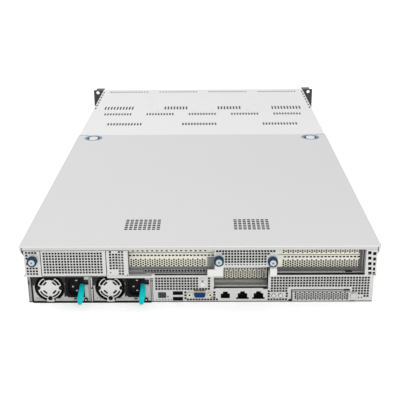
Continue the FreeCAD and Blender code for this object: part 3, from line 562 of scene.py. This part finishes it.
# Bay cover: a loose perforated plate over the upper left bay, with a folded flange at its foot and top.
bay_span = (-195, -115.6)
bay_outline = [(-195, 46.8), (-194.2, shelf_top), (-116.2, shelf_top), (-115.6, 46.8), (-115.6, plate_top),
               (-195, plate_top)]
bay = bmesh.new()
standing(bay, bay_outline, squares(field(-191.3, 76.6, 20, 8), big_hole), plate_y)
blocks(bay, (bay_span, (-414.8, -409), (shelf_top, 47.4)), (bay_span, (-414.8, -409), (78.8, plate_top)))
piece("bay_cover_plate", bay, panel_zinc, replaces=["rear_bay_cover"])

# Slot covers: cream-painted steel blanks, perforated in staggered columns, under a grey strip with a
# row of slots. Each lies in its riser window behind the plates, and the low one further in.
cream = finish("cream-painted blanks", (0.93, 0.90, 0.77), (0.86, 0.83, 0.70), 0.0, 0.5)
strip_grey = finish("grey strip", (0.84, 0.83, 0.79), (0.78, 0.77, 0.73), 0.0, 0.45)
cover_y = -402.0
low_cover_y = -376.0
blank_depth = 1.0


def staggered(first, last, columns, top, pitch, count, fewer=1):
    """Middles of holes in columns that alternate between count and that many fewer, half a pitch lower."""
    step = (last - first) / (columns - 1)
    return [(first + step * i, top - pitch * (j + (i % 2) / 2))
            for i in range(columns) for j in range(count - fewer * (i % 2))]


def sheet_of_dots(x, z, dots, y, dot=1.25):
    """Blank between the limits of x and z with round holes."""
    standing(blanks, between(x, z), [circle(u, v, dot, 8) for u, v in dots], y, blank_depth)


def strip_of_slots(x, z, slots, y):
    """Strip between the limits of x and z with a row of short slots from first to last at a height."""
    first, last, count, height, width = slots
    middles = [(first + (last - first) / (count - 1) * i, height) for i in range(count)]
    standing(strips, between(x, z), [rectangle(u, v, width, 2.1) for u, v in middles], y - 0.3, 0.8)


blanks = bmesh.new()
strips = bmesh.new()
sheet_of_dots(left_window, (51.8, 65.4), staggered(-85.6, 6.2, 32, 61.75, 2.8, 4), cover_y)
strip_of_slots(left_window, (65.4, 70.9), (-86.4, 15.9, 24, 67.4, 3.0), cover_y)
top_slots = [rectangle(-83.0 + 6.0 * i, 73.6, 2.6, 2.2) for i in range(16)]
standing(blanks, rectangle(-34.8, 75.6, 106.4, 8.0), top_slots, cover_y, blank_depth)
sheet_of_dots(right_window, (50.6, 62.7), staggered(104.3, 198.0, 33, 60.0, 2.9, 4), cover_y, 1.34)
strip_of_slots(right_window, (62.7, 67.4), (106.1, 197.5, 21, 64.85, 3.0), cover_y)
sheet_of_dots(right_window, (68.2, backing_top), staggered(104.3, 198.0, 33, 76.3, 2.7, 3), cover_y)
sheet_of_dots(low_window, (20.0, 34.3), staggered(31.2, 82.2, 18, 32.6, 3.1, 4, 0), low_cover_y)
strip_of_slots(low_window, (34.3, 44.6), (31.3, 83.6, 15, 35.7, 2.3), low_cover_y)
piece("slot_blanks", blanks, cream, replaces=["slot_covers"])
piece("slot_strips", strips, strip_grey)

# Feet of the windows: grey and dark painted shade under the blanks, at their ends and on the floors, an
# upstanding lip with round holes in the left window, which with its dark beads is painted darker as shade,
# and pale beads on the floors painted lighter as a highlight. Black painted shade lies behind the blanks
# and the lip, and in the grooves in the floors.
grey_foot_shade = finish("grey painted shade at the feet", (0.30, 0.31, 0.30), (0.22, 0.23, 0.22), 0.1, 0.6)
dark_foot_shade = finish("dark painted shade at the feet", (0.155, 0.16, 0.155), (0.11, 0.115, 0.11), 0.1, 0.6)
plain("window_foot_shade", grey_foot_shade, "bracket_steel",
      (left_window, (-402.5, -401.9), (46.3, 52.4)), ((-88, -70.5), (-407.4, -403), (shelf_top, 49.6), 0.4),
      ((-88, -56), (-412, -403), (shelf_top, 46.5)), (low_inside, (-391.6, -384.2), (low_floor, 20.8)),
      (low_inside, (-396.8, -395.2), (low_floor, 20.8)), ((9.4, 18.2), (-403.6, -402.2), (51.0, 64.8)))
plain("window_foot_dark_shade", dark_foot_shade, "bracket_steel",
      (right_window, (-402.5, -401.9), (46.3, 51.2)), (right_window, (-405.0, -402.4), (shelf_top, 46.6)),
      ((198.8, 201.2), (-403.4, -402.0), (46.4, backing_top)),
      (low_inside, (-376.5, -375.9), (low_floor, 22.6)), ((-60, 9), (-409.8, -407.4), (shelf_top, 46.5)),
      ((-88.0, -87.7), (-415.2, -402.6), (49.4, backing_top)))
lip = bmesh.new()
lip_holes = [circle(-67.6 + 3.83 * i, 48.5, 1.5, 10) for i in range(22)]
standing(lip, between((-69.8, 17.6), (shelf_top, 50.6)), lip_holes, -407.0, 0.8)
blocks(lip, ((99.9, 178.5), (-406.4, -405.2), (shelf_top, 47.0), 0.2, 1),
       ((201.2, 202.6), (-406.0, -404.6), (47, 79.4), 0.2, 1),
       ((18, 86), (-387.0, -384.8), (low_floor, 21.3), 0.2, 1))
piece("window_lips", lip, shaded_zinc)
plain("floor_bead_highlight", strip_grey, "bracket_steel",
      ((-66, 9), (-410.6, -409.6), (shelf_top, 46.8), 0.2, 1),
      ((20, 84), (-395.2, -392.6), (low_floor, 21.1), 0.2, 1))
plain("slot_hole_shade", black_and_painted_shade, "ear_black",
      (left_window, (cover_y + 1.4, cover_y + 1.8), (46.4, backing_top)),
      (right_window, (cover_y + 1.4, cover_y + 1.8), (46.4, backing_top)),
      (low_window, (low_cover_y + 1.4, low_cover_y + 1.8), (20.8, 44.6)),
      ((-69.6, 17.4), (-406.1, -405.7), (46.4, 50.4)), ((-55.7, 10), (-414.4, -410.8), (shelf_top, 46.5)),
      ((95.2, 203.4), (-414.6, -409.6), (shelf_top, 46.5)),
      ((180.9, 189.7), (-407.4, -404.8), (shelf_top, 47.2)),
      ((202.8, 203.6), (-405.4, -403.0), (46.4, 79.4)), ((80.0, 86.2), (-400.4, -397.0), (19.2, 20.9)),
      ((17.8, 80.0), (-398.4, -396.9), (19.5, 20.7)))

# Rear top cover: a flat steel sheet painted pale grey, with a flange down each side, a lip under its
# rear edge painted darker as shade, and a rounded strip along the bend painted lighter as a highlight. It
# has two vent patches over black painted shade, four dimples and the two latches' holes, and lifts off
# upwards.
cover_grey = finish("pale grey cover paint", (0.76, 0.76, 0.76), (0.735, 0.735, 0.735), 0.0, 0.62,
                    cloud=4.0, specular=0.15)
lit_cover_paint = finish("cover paint lightened as painted light", (0.90, 0.90, 0.90), (0.88, 0.88, 0.88), 0.0, 0.62,
                     cloud=4.0, specular=0.15)
lip_paint = finish("shaded lip paint", (0.63, 0.63, 0.62), (0.58, 0.58, 0.57), 0.0, 0.55, cloud=60.0)
bend_highlight_paint = finish("painted highlight on the bent edge", (0.83, 0.83, 0.83), (0.80, 0.80, 0.80), 0.0, 0.4, cloud=30.0)
cover_top = 87.5
lid_half = 220.5
latch_places = (-191.6, 191.6)
latch_y = 45.0
vent_lefts = (-94.6, 45.9)
lid = bmesh.new()
vents = [rectangle(x + 5.9 * i, -366 + 6.0 * j, 4.1, 4.4)
         for x in vent_lefts for i in range(8) for j in range(6)]
lying(lid, between((-lid_half, lid_half), (-420, 62.5)),
      vents + [circle(x, latch_y, 15.7, 48) for x in latch_places], cover_top, 1.0)
for side in (-1, 1):
    block(lid, sorted((side * 219.5, side * lid_half)), (-416, 62.5), (79.5, 86.5))
piece("lid_sheet", lid, cover_grey, "top_cover", replaces=["rear_top_cover"])
plain("lid_lip", lip_paint, "cover_steel", ((-216.5, 216.5), (-420.0, -419.0), (82.5, 86.5), 0.3),
      body="top_cover")
plain("lid_bend_highlight", bend_highlight_paint, "cover_steel", ((-lid_half, lid_half), (-420.1, -419.0), (86.3, 87.6), 0.45, 3),
      body="top_cover", smooth=True)
plain("vent_shade", black_and_painted_shade, "ear_black",
      *(((x - 4, x + 45.3), (-370, -332), (86.7, 87.1)) for x in vent_lefts), body="top_cover")
dimples = bmesh.new()
for x, y in ((-176.0, 56.0), (176.0, 56.0), (-100.0, 58.0), (100.0, 58.0)):
    pin(dimples, x, y, (cover_top, 87.8), 1.6, sides=16, tip=1.2)
piece("lid_dimples", dimples, cover_grey, "top_cover", smooth=True)

# Middle and front covers: pale steel sheets, slotted over the fans and the drive cage, their paint lighter
# than the rear cover's as painted light, with a dark sheet of painted shade under the slots and black
# painted shade in the seams towards the rear cover. Screws hold the middle one along its sides, and the
# front one carries small pressed marks in the rear cover's darker paint.
slot_width = 3.0
cover_ends = ((63, 232.5), (233, 420))
middle_pitch = 5.55
front_pitch = 6.1
pressed_top = 87.75


def slotted(rows):
    """Slots of every group in the rows: middle, place along the server, count, pitch and length."""
    return [rectangle(x + (i - (count - 1) / 2) * pitch, y, slot_width, length)
            for x, y, count, pitch, length in rows for i in range(count)]


middle_rows = [(x, 136, 12, middle_pitch, 17) for x in (-145.8, -5.4, 145.8)]
middle_rows += [(x, 209, 10, middle_pitch, 17) for x in (-166, -83, 0, 83, 166)]
front_rows = [(x, 257, 10, front_pitch, 25) for x in (-168.3, 168.3)]
front_rows += [(x, 257, 8, front_pitch, 25) for x in (-53.6, 53.6)]
front_rows += [(x, 398, 14, front_pitch, 10) for x in (-160.8, -53.6, 53.6, 160.8)]
front_rows += [(x, 257.5 + 23 * i, 1, 0, 14) for x in (-216, 216) for i in range(7)]
for name, ends, rows, thickness in (("middle", cover_ends[0], middle_rows, 0.8),
                                    ("front", cover_ends[1], front_rows, 0.65)):
    cover = bmesh.new()
    lying(cover, between((-half_width, half_width), ends), slotted(rows), cover_top, thickness)
    piece(f"{name}_cover_sheet", cover, lit_cover_paint, replaces=[f"{name}_top_cover"])
slot_shade = finish("shade under the slots", (0.035, 0.035, 0.037), (0.06, 0.06, 0.062), 0.0, 0.8,
                    specular=0.12)
plain("slot_shade_sheet", slot_shade, "ear_black",
      ((-210, 210), (66, 229), (86.2, 86.6)), ((-217.8, 217.8), (243, 412), (86.55, 86.8)))
pressed = bmesh.new()
for x in (-108, 0, 107):
    for y in (345, 277):
        for side in (-1, 1):
            block(pressed, about(x + side * 5, 1.6), (y - 3, y - 1.4), (87.4, pressed_top), 0.1, 1)
        block(pressed, about(x, 1.4), (y + 1.2, y + 4), (87.4, pressed_top), 0.1, 1)
for x in (-200, -107, 0, 107, 200):
    pin(pressed, x, 408, (cover_top, pressed_top), 2.6, sides=20, tip=2.2)
for x in (-206, -90, -20, 20, 90, 206):
    pin(pressed, x, 241, (cover_top, pressed_top), 2.3, sides=20, tip=1.9)
piece("cover_pressings", pressed, cover_grey, smooth=True)
heads = bmesh.new()
for x in (-212, 212):
    for y in (75, 150, 225):
        pin(heads, x, y, (cover_top, 87.9), 2.5, sides=20, tip=2.2)
piece("cover_screws", heads, lit_cover_paint, smooth=True)
plain("cover_seam_shade", black_and_painted_shade, "ear_black",
      *((sorted((side * 202, side * 219.4)), (62.4, 63.2), (86.6, 87.7)) for side in (-1, 1)))

# Cover latches: a blue moulded ring with a blue-grey band inside it, round a black dish with a pale,
# oval die-cast grip. A quarter turn lets the cover go.
latch_blue = finish("blue latch ring", (0.07, 0.19, 0.38), (0.10, 0.24, 0.44), 0.0, 0.35)
band_grey = finish("blue-grey band", (0.34, 0.42, 0.52), (0.28, 0.36, 0.46), 0.1, 0.4)
latch_pale = finish("pale cast grip", (0.80, 0.81, 0.82), (0.72, 0.73, 0.74), 0.2, 0.3)


def squarish(angle, power):
    """Point on a unit circle that is swollen towards its corners."""
    return [math.copysign(abs(part) ** power, part) for part in (math.cos(angle), math.sin(angle))]


def soften(bm, outward, end, offset, segments):
    """Rounds the rims of the flat end that lies past a distance in the outward direction."""
    outward = Vector(outward)
    rims = [edge for edge in bm.edges if all(vert.co.dot(outward) > end for vert in edge.verts) and
            len({round(face.normal.dot(outward), 1) for face in edge.link_faces}) > 1]
    bmesh.ops.bevel(bm, geom=rims, offset=offset, segments=segments, profile=0.5, affect="EDGES", material=-1)


for name, x in zip(("left", "right"), latch_places):
    body = f"latch_{name}"
    hoop = bmesh.new()
    lying(hoop, circle(x, latch_y, 15.5, 48), [circle(x, latch_y, 12.9, 48)], cover_top, 6.4)
    soften(hoop, (0, 0, 1), 87.4, 0.8, 3)
    piece(f"latch_ring_{name}", hoop, latch_blue, body, True, [f"cover_latch_{name}"])
    band = bmesh.new()
    lying(band, circle(x, latch_y, 12.8, 48), [circle(x, latch_y, 11.6, 48)], 87.2, 4)
    piece(f"latch_band_{name}", band, band_grey, body, True)
    dish = bmesh.new()
    pin(dish, x, latch_y, (81.2, 85.4), 12.8, sides=48)
    piece(f"latch_dish_{name}", dish, socket_black, body, True)
    grip = bmesh.new()
    curve = [squarish(math.tau * i / 48, 0.8) for i in range(48)]
    oval = [(x + 7.8 * u, latch_y + 9.6 * v) for u, v in curve]
    lying(grip, oval, [], 87.6, 2.4)
    soften(grip, (0, 0, 1), 87.5, 0.9, 3)
    piece(f"latch_grip_{name}", grip, latch_pale, body, True)

# Thumbscrews: a captive steel screw with a fluted blue collar and a pale cap with a cross recess, whose
# grey is painted shade.
collar_blue = finish("navy collar", (0.002, 0.032, 0.075), (0.004, 0.05, 0.11), 0.0, 0.3, specular=0.2)
cap_pale = finish("pale cast cap", (0.62, 0.66, 0.70), (0.52, 0.56, 0.60), 0.1, 0.35)
flutes = 48
flute_radii = (5.75, 6.2)
cap_radius = 3.9
for number, (x, z) in enumerate(screw_places, 1):
    body = f"thumbscrew_{number}"
    collar = bmesh.new()
    fluted = [(x + flute_radii[i % 2] * math.cos(math.tau * i / flutes),
               z + flute_radii[i % 2] * math.sin(math.tau * i / flutes)) for i in range(flutes)]
    standing(collar, fluted, [circle(x, z, cap_radius, 24)], -423.0, 6.7)
    soften(collar, (0, -1, 0), 422.9, 0.35, 2)
    piece(f"screw_collar_{number}", collar, collar_blue, body, True, [f"thumbscrew_{number}"])
    cap = bmesh.new()
    rod(cap, x, (-423.4, -416.4), z, cap_radius, sides=32)
    rod(cap, x, (-423.8, -423.4), z, 3.5, sides=32, tip=cap_radius)
    rod(cap, x, (-416.4, -410.3), z, 2.0, sides=16)
    piece(f"screw_cap_{number}", cap, cap_pale, body, True)
    cross = bmesh.new()
    cross_recess(cross, x, -423.85, z, (3.0, 0.25, 0.8))
    piece(f"screw_cross_{number}", cross, grey_painted_shade, body)

# Power supplies: a zinc-plated case with a die-stamped face, a fan behind a pale ring guard, a black
# inlet with three blades, and a turquoise release lever. Each slides out of its bay to the rear.
supply_zinc = finish("bright supply case", (0.57, 0.555, 0.53), (0.46, 0.45, 0.435), 0.3, 0.4)
guard_pale = finish("pale wire guard", (0.76, 0.76, 0.75), (0.66, 0.66, 0.65), 0.3, 0.35)
supply_dark = finish("dark supply face and button rims", (0.022, 0.022, 0.023), (0.04, 0.04, 0.042), 0.0, 0.6, specular=0.12)
rotor_black = finish("black fan plastic", (0.015, 0.015, 0.016), (0.028, 0.028, 0.03), 0.0, 0.45,
                     specular=0.12)
lever_teal = finish("turquoise lever", (0.0, 0.50, 0.55), (0.0, 0.58, 0.63), 0.0, 0.4, specular=0.15)
face_back = -383.0
lever_thickness = 1.5
guard_corners = ((-3.4, -0.4), (-2.6, -1.2), (2.6, -1.2), (3.4, -0.4), (3.4, 0.4), (2.6, 1.2), (-2.6, 1.2),
                 (-3.4, 0.4))
guard_arcs = ((17, 61, 10.7), (119, 163, 10.7), (200, 256, 11.7), (284, 340, 11.7))
guard_edge = ((19.8, 255, 285), (15.1, 286, 422), (10.9, 63, 117), (15.1, 118, 254))
lever_stations = (
    (-394.0, 25.2, 0.6, 1.9), (-400.0, 25.2, 1.3, 2.7), (-407.0, 24.0, 2.1, 3.3), (-413.0, 20.4, 1.8, 3.7),
    (-416.6, 15.4, 1.1, 3.7), (-418.4, 10.4, 0.6, 3.1), (-418.8, 7.8, 0.4, 2.0),
)


def around(u, v, radius, first, last):
    """Points on an arc between two bearings in degrees."""
    bearings = [math.radians(first + (last - first) * i / 16) for i in range(17)]
    return [(u + radius * math.cos(a), v + radius * math.sin(a)) for a in bearings]


for number, middle in enumerate(psu_middles, 1):
    body = f"psu_{number}"
    left = middle - psu_half
    fan_x, fan_z = middle - 14.4, 20.8
    inlet_x = middle + 16.8
    inlet_left, inlet_right, inlet_hook = inlet_x - 10.9, inlet_x + 13.0, inlet_x + 18.3
    face_screws = (fan_x - 15.4, fan_x + 15.0)
    lamp_x = middle + 31.0
    socket = [(inlet_x - 8, 14), (inlet_x - 4, 10), (inlet_x + 8.6, 10), (inlet_x + 8.6, 34.6),
              (inlet_x - 4, 34.6), (inlet_x - 8, 30.6)]
    case = bmesh.new()
    standing(case, rectangle(middle, 21.5, 2 * psu_half, 40),
             [circle(fan_x, fan_z, 19.4, 48), socket, rectangle(middle + 17.7, 4.9, 3.8, 2.8)],
             wall_y, face_back - wall_y)
    blocks(case, ((left, middle + psu_half), (face_back, supply_end), (1.5, 41.5)),
           ((middle + 30.4, middle + 35.6), (-398.9, wall_y), (33.2, 41.2), 0.3),
           ((middle + 29.9, middle + 34.8), (-398.7, wall_y), (8.0, 24.0), 0.3),
           ((middle - 8, middle + 15), (-398.5, wall_y), (1.9, 5.4), 0.2))
    for x in face_screws:
        rod(case, x, (-399.0, wall_y), 4.5, 1.7, sides=16, tip=2.1)
    piece(f"supply_case_{number}", case, supply_zinc, body, replaces=[f"psu_case_{number}"])

    guard = bmesh.new()
    slots = []
    for k in range(4):
        bearing = math.pi / 4 + k * math.pi / 2
        along = Vector((-math.sin(bearing), math.cos(bearing)))
        across = Vector((math.cos(bearing), math.sin(bearing)))
        centre = Vector((fan_x, fan_z)) + across * 8.3
        slots.append([tuple(centre + along * a + across * b) for a, b in guard_corners])
    for first, last, inside in guard_arcs:
        outside = around(fan_x, fan_z, 13.9, first, last)
        slots.append(outside + around(fan_x, fan_z, inside, first, last)[::-1])
    edge = [point for arc in guard_edge for point in around(fan_x, fan_z, *arc)]
    standing(guard, edge, slots, -398.8, 0.5)
    piece(f"fan_guard_{number}", guard, guard_pale, body)

    # Dark band across the top of the face and strips by the inlet; the triangles round its screws are painted
    # shade.
    dark = bmesh.new()
    rim = [(fan_x + 19.5 * math.cos(a), fan_z + 19.5 * math.sin(a)) for a in
           [math.radians(170 - 7 * i) for i in range(22)]]
    dark_left = left + 0.3
    corners = [(dark_left, 24.0), (dark_left, 41.2), (inlet_left, 41.2), (inlet_left, 24.6)]
    standing(dark, corners + rim[::-1], [], -398.6, 0.55)
    blocks(dark, ((inlet_left - 2.2, inlet_left), (-398.5, wall_y), (8.0, 25.0)),
           ((inlet_right, inlet_hook), (-398.5, wall_y), (28.2, 31.8)))
    for x in face_screws:
        rod(dark, x, (-398.3, wall_y), 4.5, 2.9, sides=3)
    piece(f"face_band_and_screw_shade_{number}", dark, supply_dark, body)

    black = bmesh.new()
    for bearing in (0, 180, 270):
        a = math.radians(bearing)
        rod(black, fan_x + 14.6 * math.cos(a), (-399.6, -398.6), fan_z + 14.6 * math.sin(a), 2.9, sides=18)
    frame_outline = [(inlet_left, 10.5), (inlet_left + 2.4, 7.4), (inlet_right, 7.4), (inlet_right, 25.4),
                     (inlet_hook, 25.4), (inlet_hook, 28.2), (inlet_right, 28.2), (inlet_right, 41.2),
                     (inlet_left, 41.2)]
    standing(black, frame_outline, [socket], -399.2, 1.15)
    socket_middle = Vector((inlet_x + 0.3, 22.3))
    liner, inner = ([tuple(socket_middle + (Vector(corner) - socket_middle) * part) for corner in socket]
                    for part in (0.98, 0.95))
    standing(black, liner, [inner], -398.6, 15.4)
    blocks(black, ((inlet_x - 7.8, inlet_x + 8.4), (-393.4, -392.9), (10.2, 34.4)),
           ((middle + 15.6, middle + 19.8), (-383.6, -383.1), (3.4, 6.4)))
    rod(black, lamp_x, (-400.0, wall_y), 4.0, 2.4, sides=24)
    # Black strips down the left of the face and along its foot are painted shade in the gaps round the
    # supply.
    blocks(black, ((left - 0.3, left + 0.8), (-398.5, -397.9), (1.4, 41.6)),
           ((left, middle + psu_half), (-398.4, -397.9), (1.0, 1.7)))
    standing(black, circle(fan_x, fan_z, 18.8, 48), [circle(fan_x, fan_z, 18.0, 48)], -397.8, 14.6)
    rod(black, fan_x, (-383.25, -383.05), fan_z, 18.0, sides=48)
    piece(f"supply_plastics_{number}", black, socket_black, body)
    blades = bmesh.new()
    for x, z in ((inlet_x - 1.75, 21.5), (inlet_x + 2.9, 30.2), (inlet_x + 2.9, 15.8)):
        block(blades, about(x, 1.2), (-397.2, -393.2), about(z, 0.5), 0.2)
    rod(blades, lamp_x, (-400.5, -400), 4.0, 1.0, sides=16)
    piece(f"inlet_blades_{number}", blades, silver, body, True)

    paint(f"psu_rotor_{number}", rotor_black)
    lever = bmesh.new()
    rings = []
    for i, (y, z, shift, half) in enumerate(lever_stations):
        before, after = lever_stations[max(i - 1, 0)], lever_stations[min(i + 1, len(lever_stations) - 1)]
        run = Vector((0, after[0] - before[0], after[1] - before[1])).normalized()
        normal = Vector((0, run.z, -run.y))
        if normal.y > 0:
            normal = -normal
        rings.append([
            lever.verts.new(Vector((middle + 26.0 + shift + half * u, y, z)) + normal * lever_thickness * v)
            for u, v in [squarish(math.tau * (j + 0.5) / 12, 0.6) for j in range(12)]
        ])
    loops = [[lever.edges.new(pair) for pair in zip(ring, ring[1:] + ring[:1])] for ring in rings]
    for first, second in zip(loops, loops[1:]):
        bmesh.ops.bridge_loops(lever, edges=first + second)
    bmesh.ops.contextual_create(lever, geom=rings[0])
    bmesh.ops.contextual_create(lever, geom=rings[-1])
    bmesh.ops.recalc_face_normals(lever, faces=lever.faces[:])
    piece(f"release_lever_{number}", lever, lever_teal, f"psu_{number}_lever", True,
          [f"psu_lever_{number}"])

# Network card: a small board on a perforated plate, held by a knurled screw with a pull tab. It slides
# out to the rear. A black sheet behind the plate's holes and black edges in the wall round its window are
# painted shade.
card_zinc = finish("card plate zinc", (0.64, 0.64, 0.63), (0.57, 0.57, 0.56), 0.3, 0.4)
board_green = finish("green board laquer", (0.012, 0.10, 0.045), (0.02, 0.14, 0.06), 0.0, 0.35, grain=300)
holes_end = 190
card = bmesh.new()
card_holes = [circle(121.3 + 2.85 * i, 13.0 - 2.55 * (j + (i % 2) / 2), 1.36, 6, math.pi / 6)
              for i in range(24) for j in range(4)]
standing(card, rectangle(154.1, 7.95, 72.4, 12.9), [ring for ring in card_holes if ring[0][0] < holes_end],
         -399.2, 0.5)
block(card, (188.4, 199.2), (-400.2, -399.2), (2.4, 13.0), 0.3)
rod(card, 194.8, (-401.8, -400.2), 8.6, 4.0, sides=32, tip=4.6)
piece("card_plate", card, card_zinc, "network_card", replaces=["network_module"])
plain("card_board", board_green, "board", ((118.2, 189.8), (-398, -290), (4.5, 6.1)), body="network_card")
plain("card_chips", socket_black, "board",
      ((140, 165), (-370, -345), (6.1, 8.4), 0.3), ((176, 190), (-330, -316), (6.1, 7.4), 0.2),
      ((122, 190), (-302, -294), (6.1, 10.4), 0.3), ((119.0, 189.5), (-398.6, -398.3), (1.9, 14.0)),
      body="network_card")
plain("card_gap_shade", black_and_painted_shade, "ear_black",
      ((115.8, 117.0), (-398.6, wall_y), (0.9, 16.4)), ((115.8, 190.0), (-398.6, wall_y), (16.2, 17.2)),
      ((182.8, 190.0), (-399.0, wall_y), (15.9, 17.7)), ((112.8, 117.0), (-398.8, wall_y), (0.8, 3.6)),
      ((189.0, 197.0), (-398.6, wall_y), (1.0, 1.8)))

# Rear buttons: white moulded caps with a thin dark ring on the face, which move in their holes.
button_white = finish("white button caps", (0.80, 0.80, 0.79), (0.74, 0.74, 0.73), 0.0, 0.35)
for number, x in enumerate(button_places, 1):
    paint(f"rear_button_{number}", button_white)
    cap_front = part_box(f"rear_button_{number}")[0][1] / MM
    hoop = bmesh.new()
    standing(hoop, circle(x, button_z, 2.85, 32), [circle(x, button_z, 2.35, 32)], cap_front - 0.12, 0.2)
    piece(f"button_rim_{number}", hoop, supply_dark, f"rear_key_{number}", True)

# Rack ears: black-painted brackets screwed to the front of the side walls, each with a housing for a
# button and lamps, and a captive screw that goes into the rack.
ear_black = finish("black ear paint", (0.03, 0.03, 0.031), (0.045, 0.045, 0.047), 0.0, 0.45)
paint("rack_ears", ear_black)
ear_screws = bmesh.new()
lenses = bmesh.new()
for side in (-1, 1):
    rod(ear_screws, side * 234.6, (419, 428.5), 43.7, 4.4, sides=24, tip=4.0)
    rod(ear_screws, side * 234.6, (428.5, 429.4), 43.7, 2.6, sides=24, tip=2.2)
    for z in (12, 24, 68):
        bar(ear_screws, (side * 220.6, 398, z), 0.9, 2.6, sides=20, bearing=90, axis="Y")
    for z in (36, 42, 48):
        rod(lenses, side * 223.7, (435.7, 436.4), z, 1.1, sides=16)
piece("ear_screws", ear_screws, silver, smooth=True)
lens_clear = finish("clear lamp lens", (0.55, 0.62, 0.58), (0.48, 0.56, 0.52), 0.0, 0.15)
piece("ear_lenses", lenses, lens_clear, smooth=True)
paint("power_button", button_white)
paint("id_button", button_white)

# Drive cage and backplane: folded zinc-plated shelves and uprights, riveted, with a green board of
# sockets standing behind them.
cage_zinc = finish("zinc-plated cage", (0.60, 0.60, 0.59), (0.52, 0.52, 0.51), 0.5, 0.4)
paint("drive_cage", cage_zinc)
paint("drive_backplane", board_green)
parts = bmesh.new()
for column in range(4):
    for row in range(3):
        x, z = -160.8 + 107.2 * column, 15.2 + 28.1 * row
        block(parts, about(x, 18), (231.2, 232.6), about(z, 3), 0.3)
        block(parts, (x + 26, x + 32), (231.2, 232.6), about(z, 3), 0.3)
piece("backplane_parts", parts, socket_black)

# Drive trays: a black moulded bezel with a grille and two lamps on a steel carrier that holds a
# 3.5-inch drive. A pivoting, slatted handle, with a blue catch at its free end, locks the tray.
tray_dark = finish("dark tray plastic", (0.03, 0.03, 0.032), (0.045, 0.045, 0.048), 0.0, 0.5)
handle_grey = finish("grey handle plastic", (0.10, 0.10, 0.105), (0.13, 0.13, 0.135), 0.0, 0.4)
catch_blue = finish("blue catch", (0.04, 0.15, 0.34), (0.055, 0.19, 0.4), 0.0, 0.35)
for place in [f"{row}_{column}" for row in range(1, 4) for column in range(1, 5)]:
    lo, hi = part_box(f"drive_tray_{place}")
    x = (lo[0] + hi[0]) / 2 / MM
    low = lo[2] / MM
    paint(f"drive_tray_{place}", tray_dark)
    paint(f"tray_lever_{place}", handle_grey)
    grille = bmesh.new()
    cells = [circle(x + 27 + 3.9 * i, low + 6.2 + 4.4 * (j + (i % 2) / 2), 1.75, 6)
             for i in range(6) for j in range(4)]
    standing(grille, rectangle(x + 37, low + 13.2, 29.5, 24.5), cells, 421.2, -1.2)
    piece(f"bezel_grille_{place}", grille, handle_grey, f"tray_{place}")
    lamps = bmesh.new()
    for z in (8.6, 16.6):
        rod(lamps, x + 50.2, (421.0, 421.8), low + z, 1.0, sides=14)
    piece(f"bezel_lamps_{place}", lamps, lens_clear, f"tray_{place}", True)
    plain(f"handle_catch_{place}", catch_blue, "tray_lever",
          ((x + 15.4, x + 21.4), (427.0, 428.0), (low + 9.2, low + 17.3), 0.45, 2), body=f"lever_{place}")
    plain(f"handle_slats_{place}", handle_grey, "tray_lever",
          *(((x - 38 + 6.6 * i, x - 35.2 + 6.6 * i), (427.2, 427.9), (low + 6.2, low + 20.3), 0.3, 1)
            for i in range(7)), body=f"lever_{place}")

# Fan wall: four square fans in two moulded frames, with motors on plates and black blades.
frame_black = finish("black fan frame", (0.02, 0.02, 0.021), (0.035, 0.035, 0.037), 0.0, 0.5)
paint("fan_frames", frame_black)
for number in range(1, 5):
    paint(f"fan_rotor_{number}", rotor_black)

# Main board: a green laminate on brass standoffs, with two processors under finned aluminium coolers,
# sixteen memory sockets, and power stages, chips and headers.
paint("motherboard", board_green)
fin_metal = finish("milled aluminium", (0.66, 0.66, 0.67), (0.58, 0.58, 0.59), 0.75, 0.35, stretch=(30, 1, 1))
paint("processor_heatsinks", fin_metal)
module_green = finish("memory laminate", (0.01, 0.075, 0.04), (0.014, 0.1, 0.05), 0.0, 0.35)
paint("memory_modules", module_green)
board_top = 4.4


def on_board(bm, x, y, height, rounding=0.0):
    """Block that stands on the main board."""
    block(bm, x, y, (board_top, board_top + height), rounding)


board_black = bmesh.new()
board_metal = bmesh.new()
board_white = bmesh.new()
for x in (-40, 20, 80, 140):
    for y in (-330, -270, -210):
        if x > 110 and y < -290:
            continue
        on_board(board_black, about(x, 9), about(y, 9), 1.8, 0.3)
        for k in range(5):
            on_board(board_metal, (x + 13, x + 15), (y - 10 + 4.6 * k, y - 7.6 + 4.6 * k), 1.0)
for x in (-195, -120, 120, 195):
    for k in range(6):
        on_board(board_black, about(x, 3), (-160 + 16 * k, -152 + 16 * k), 4.2, 0.4)
        pin(board_metal, x + 8, -156 + 16 * k, (board_top, board_top + 6.5), 3.0, sides=16)
for x in (-180, -90, 0, 90, 180):
    on_board(board_white, about(x, 9), (118, 126), 8.5, 0.4)
for x in (-30, 60):
    on_board(board_black, about(x, 3.6), (-372, -250), 11.0, 0.4)
for bank in (-170.95, -39.05, 39.05, 170.95):
    for k in range(4):
        x = bank + (k - 1.5) * 8.6
        on_board(board_black, about(x, 3.3), (-54, -46.6), 9.0, 0.4)
        on_board(board_black, about(x, 3.3), (86.6, 94), 9.0, 0.4)
        for j in range(8):
            y = -36 + 16 * j
            block(board_metal, about(x, 2.85), about(y, 0.4), (37.2, 37.5))
piece("board_chips", board_black, socket_black)
piece("board_cans", board_metal, silver)
piece("board_headers", board_white, button_white)

# Riser cards: two green boards that stand beside the left walls of the riser cages, each with two
# black slots for cards.
risers = bmesh.new()
slots = bmesh.new()
for x in (-84.0, 98.4):
    block(risers, (x, x + 1.6), (-392, -262), (48.0, 79.0))
    for z in (54.0, 68.0):
        block(slots, (x + 1.6, x + 9.0), (-388, -300), about(z, 3.6), 0.4)
piece("riser_boards", risers, board_green)
piece("riser_slots", slots, socket_black)
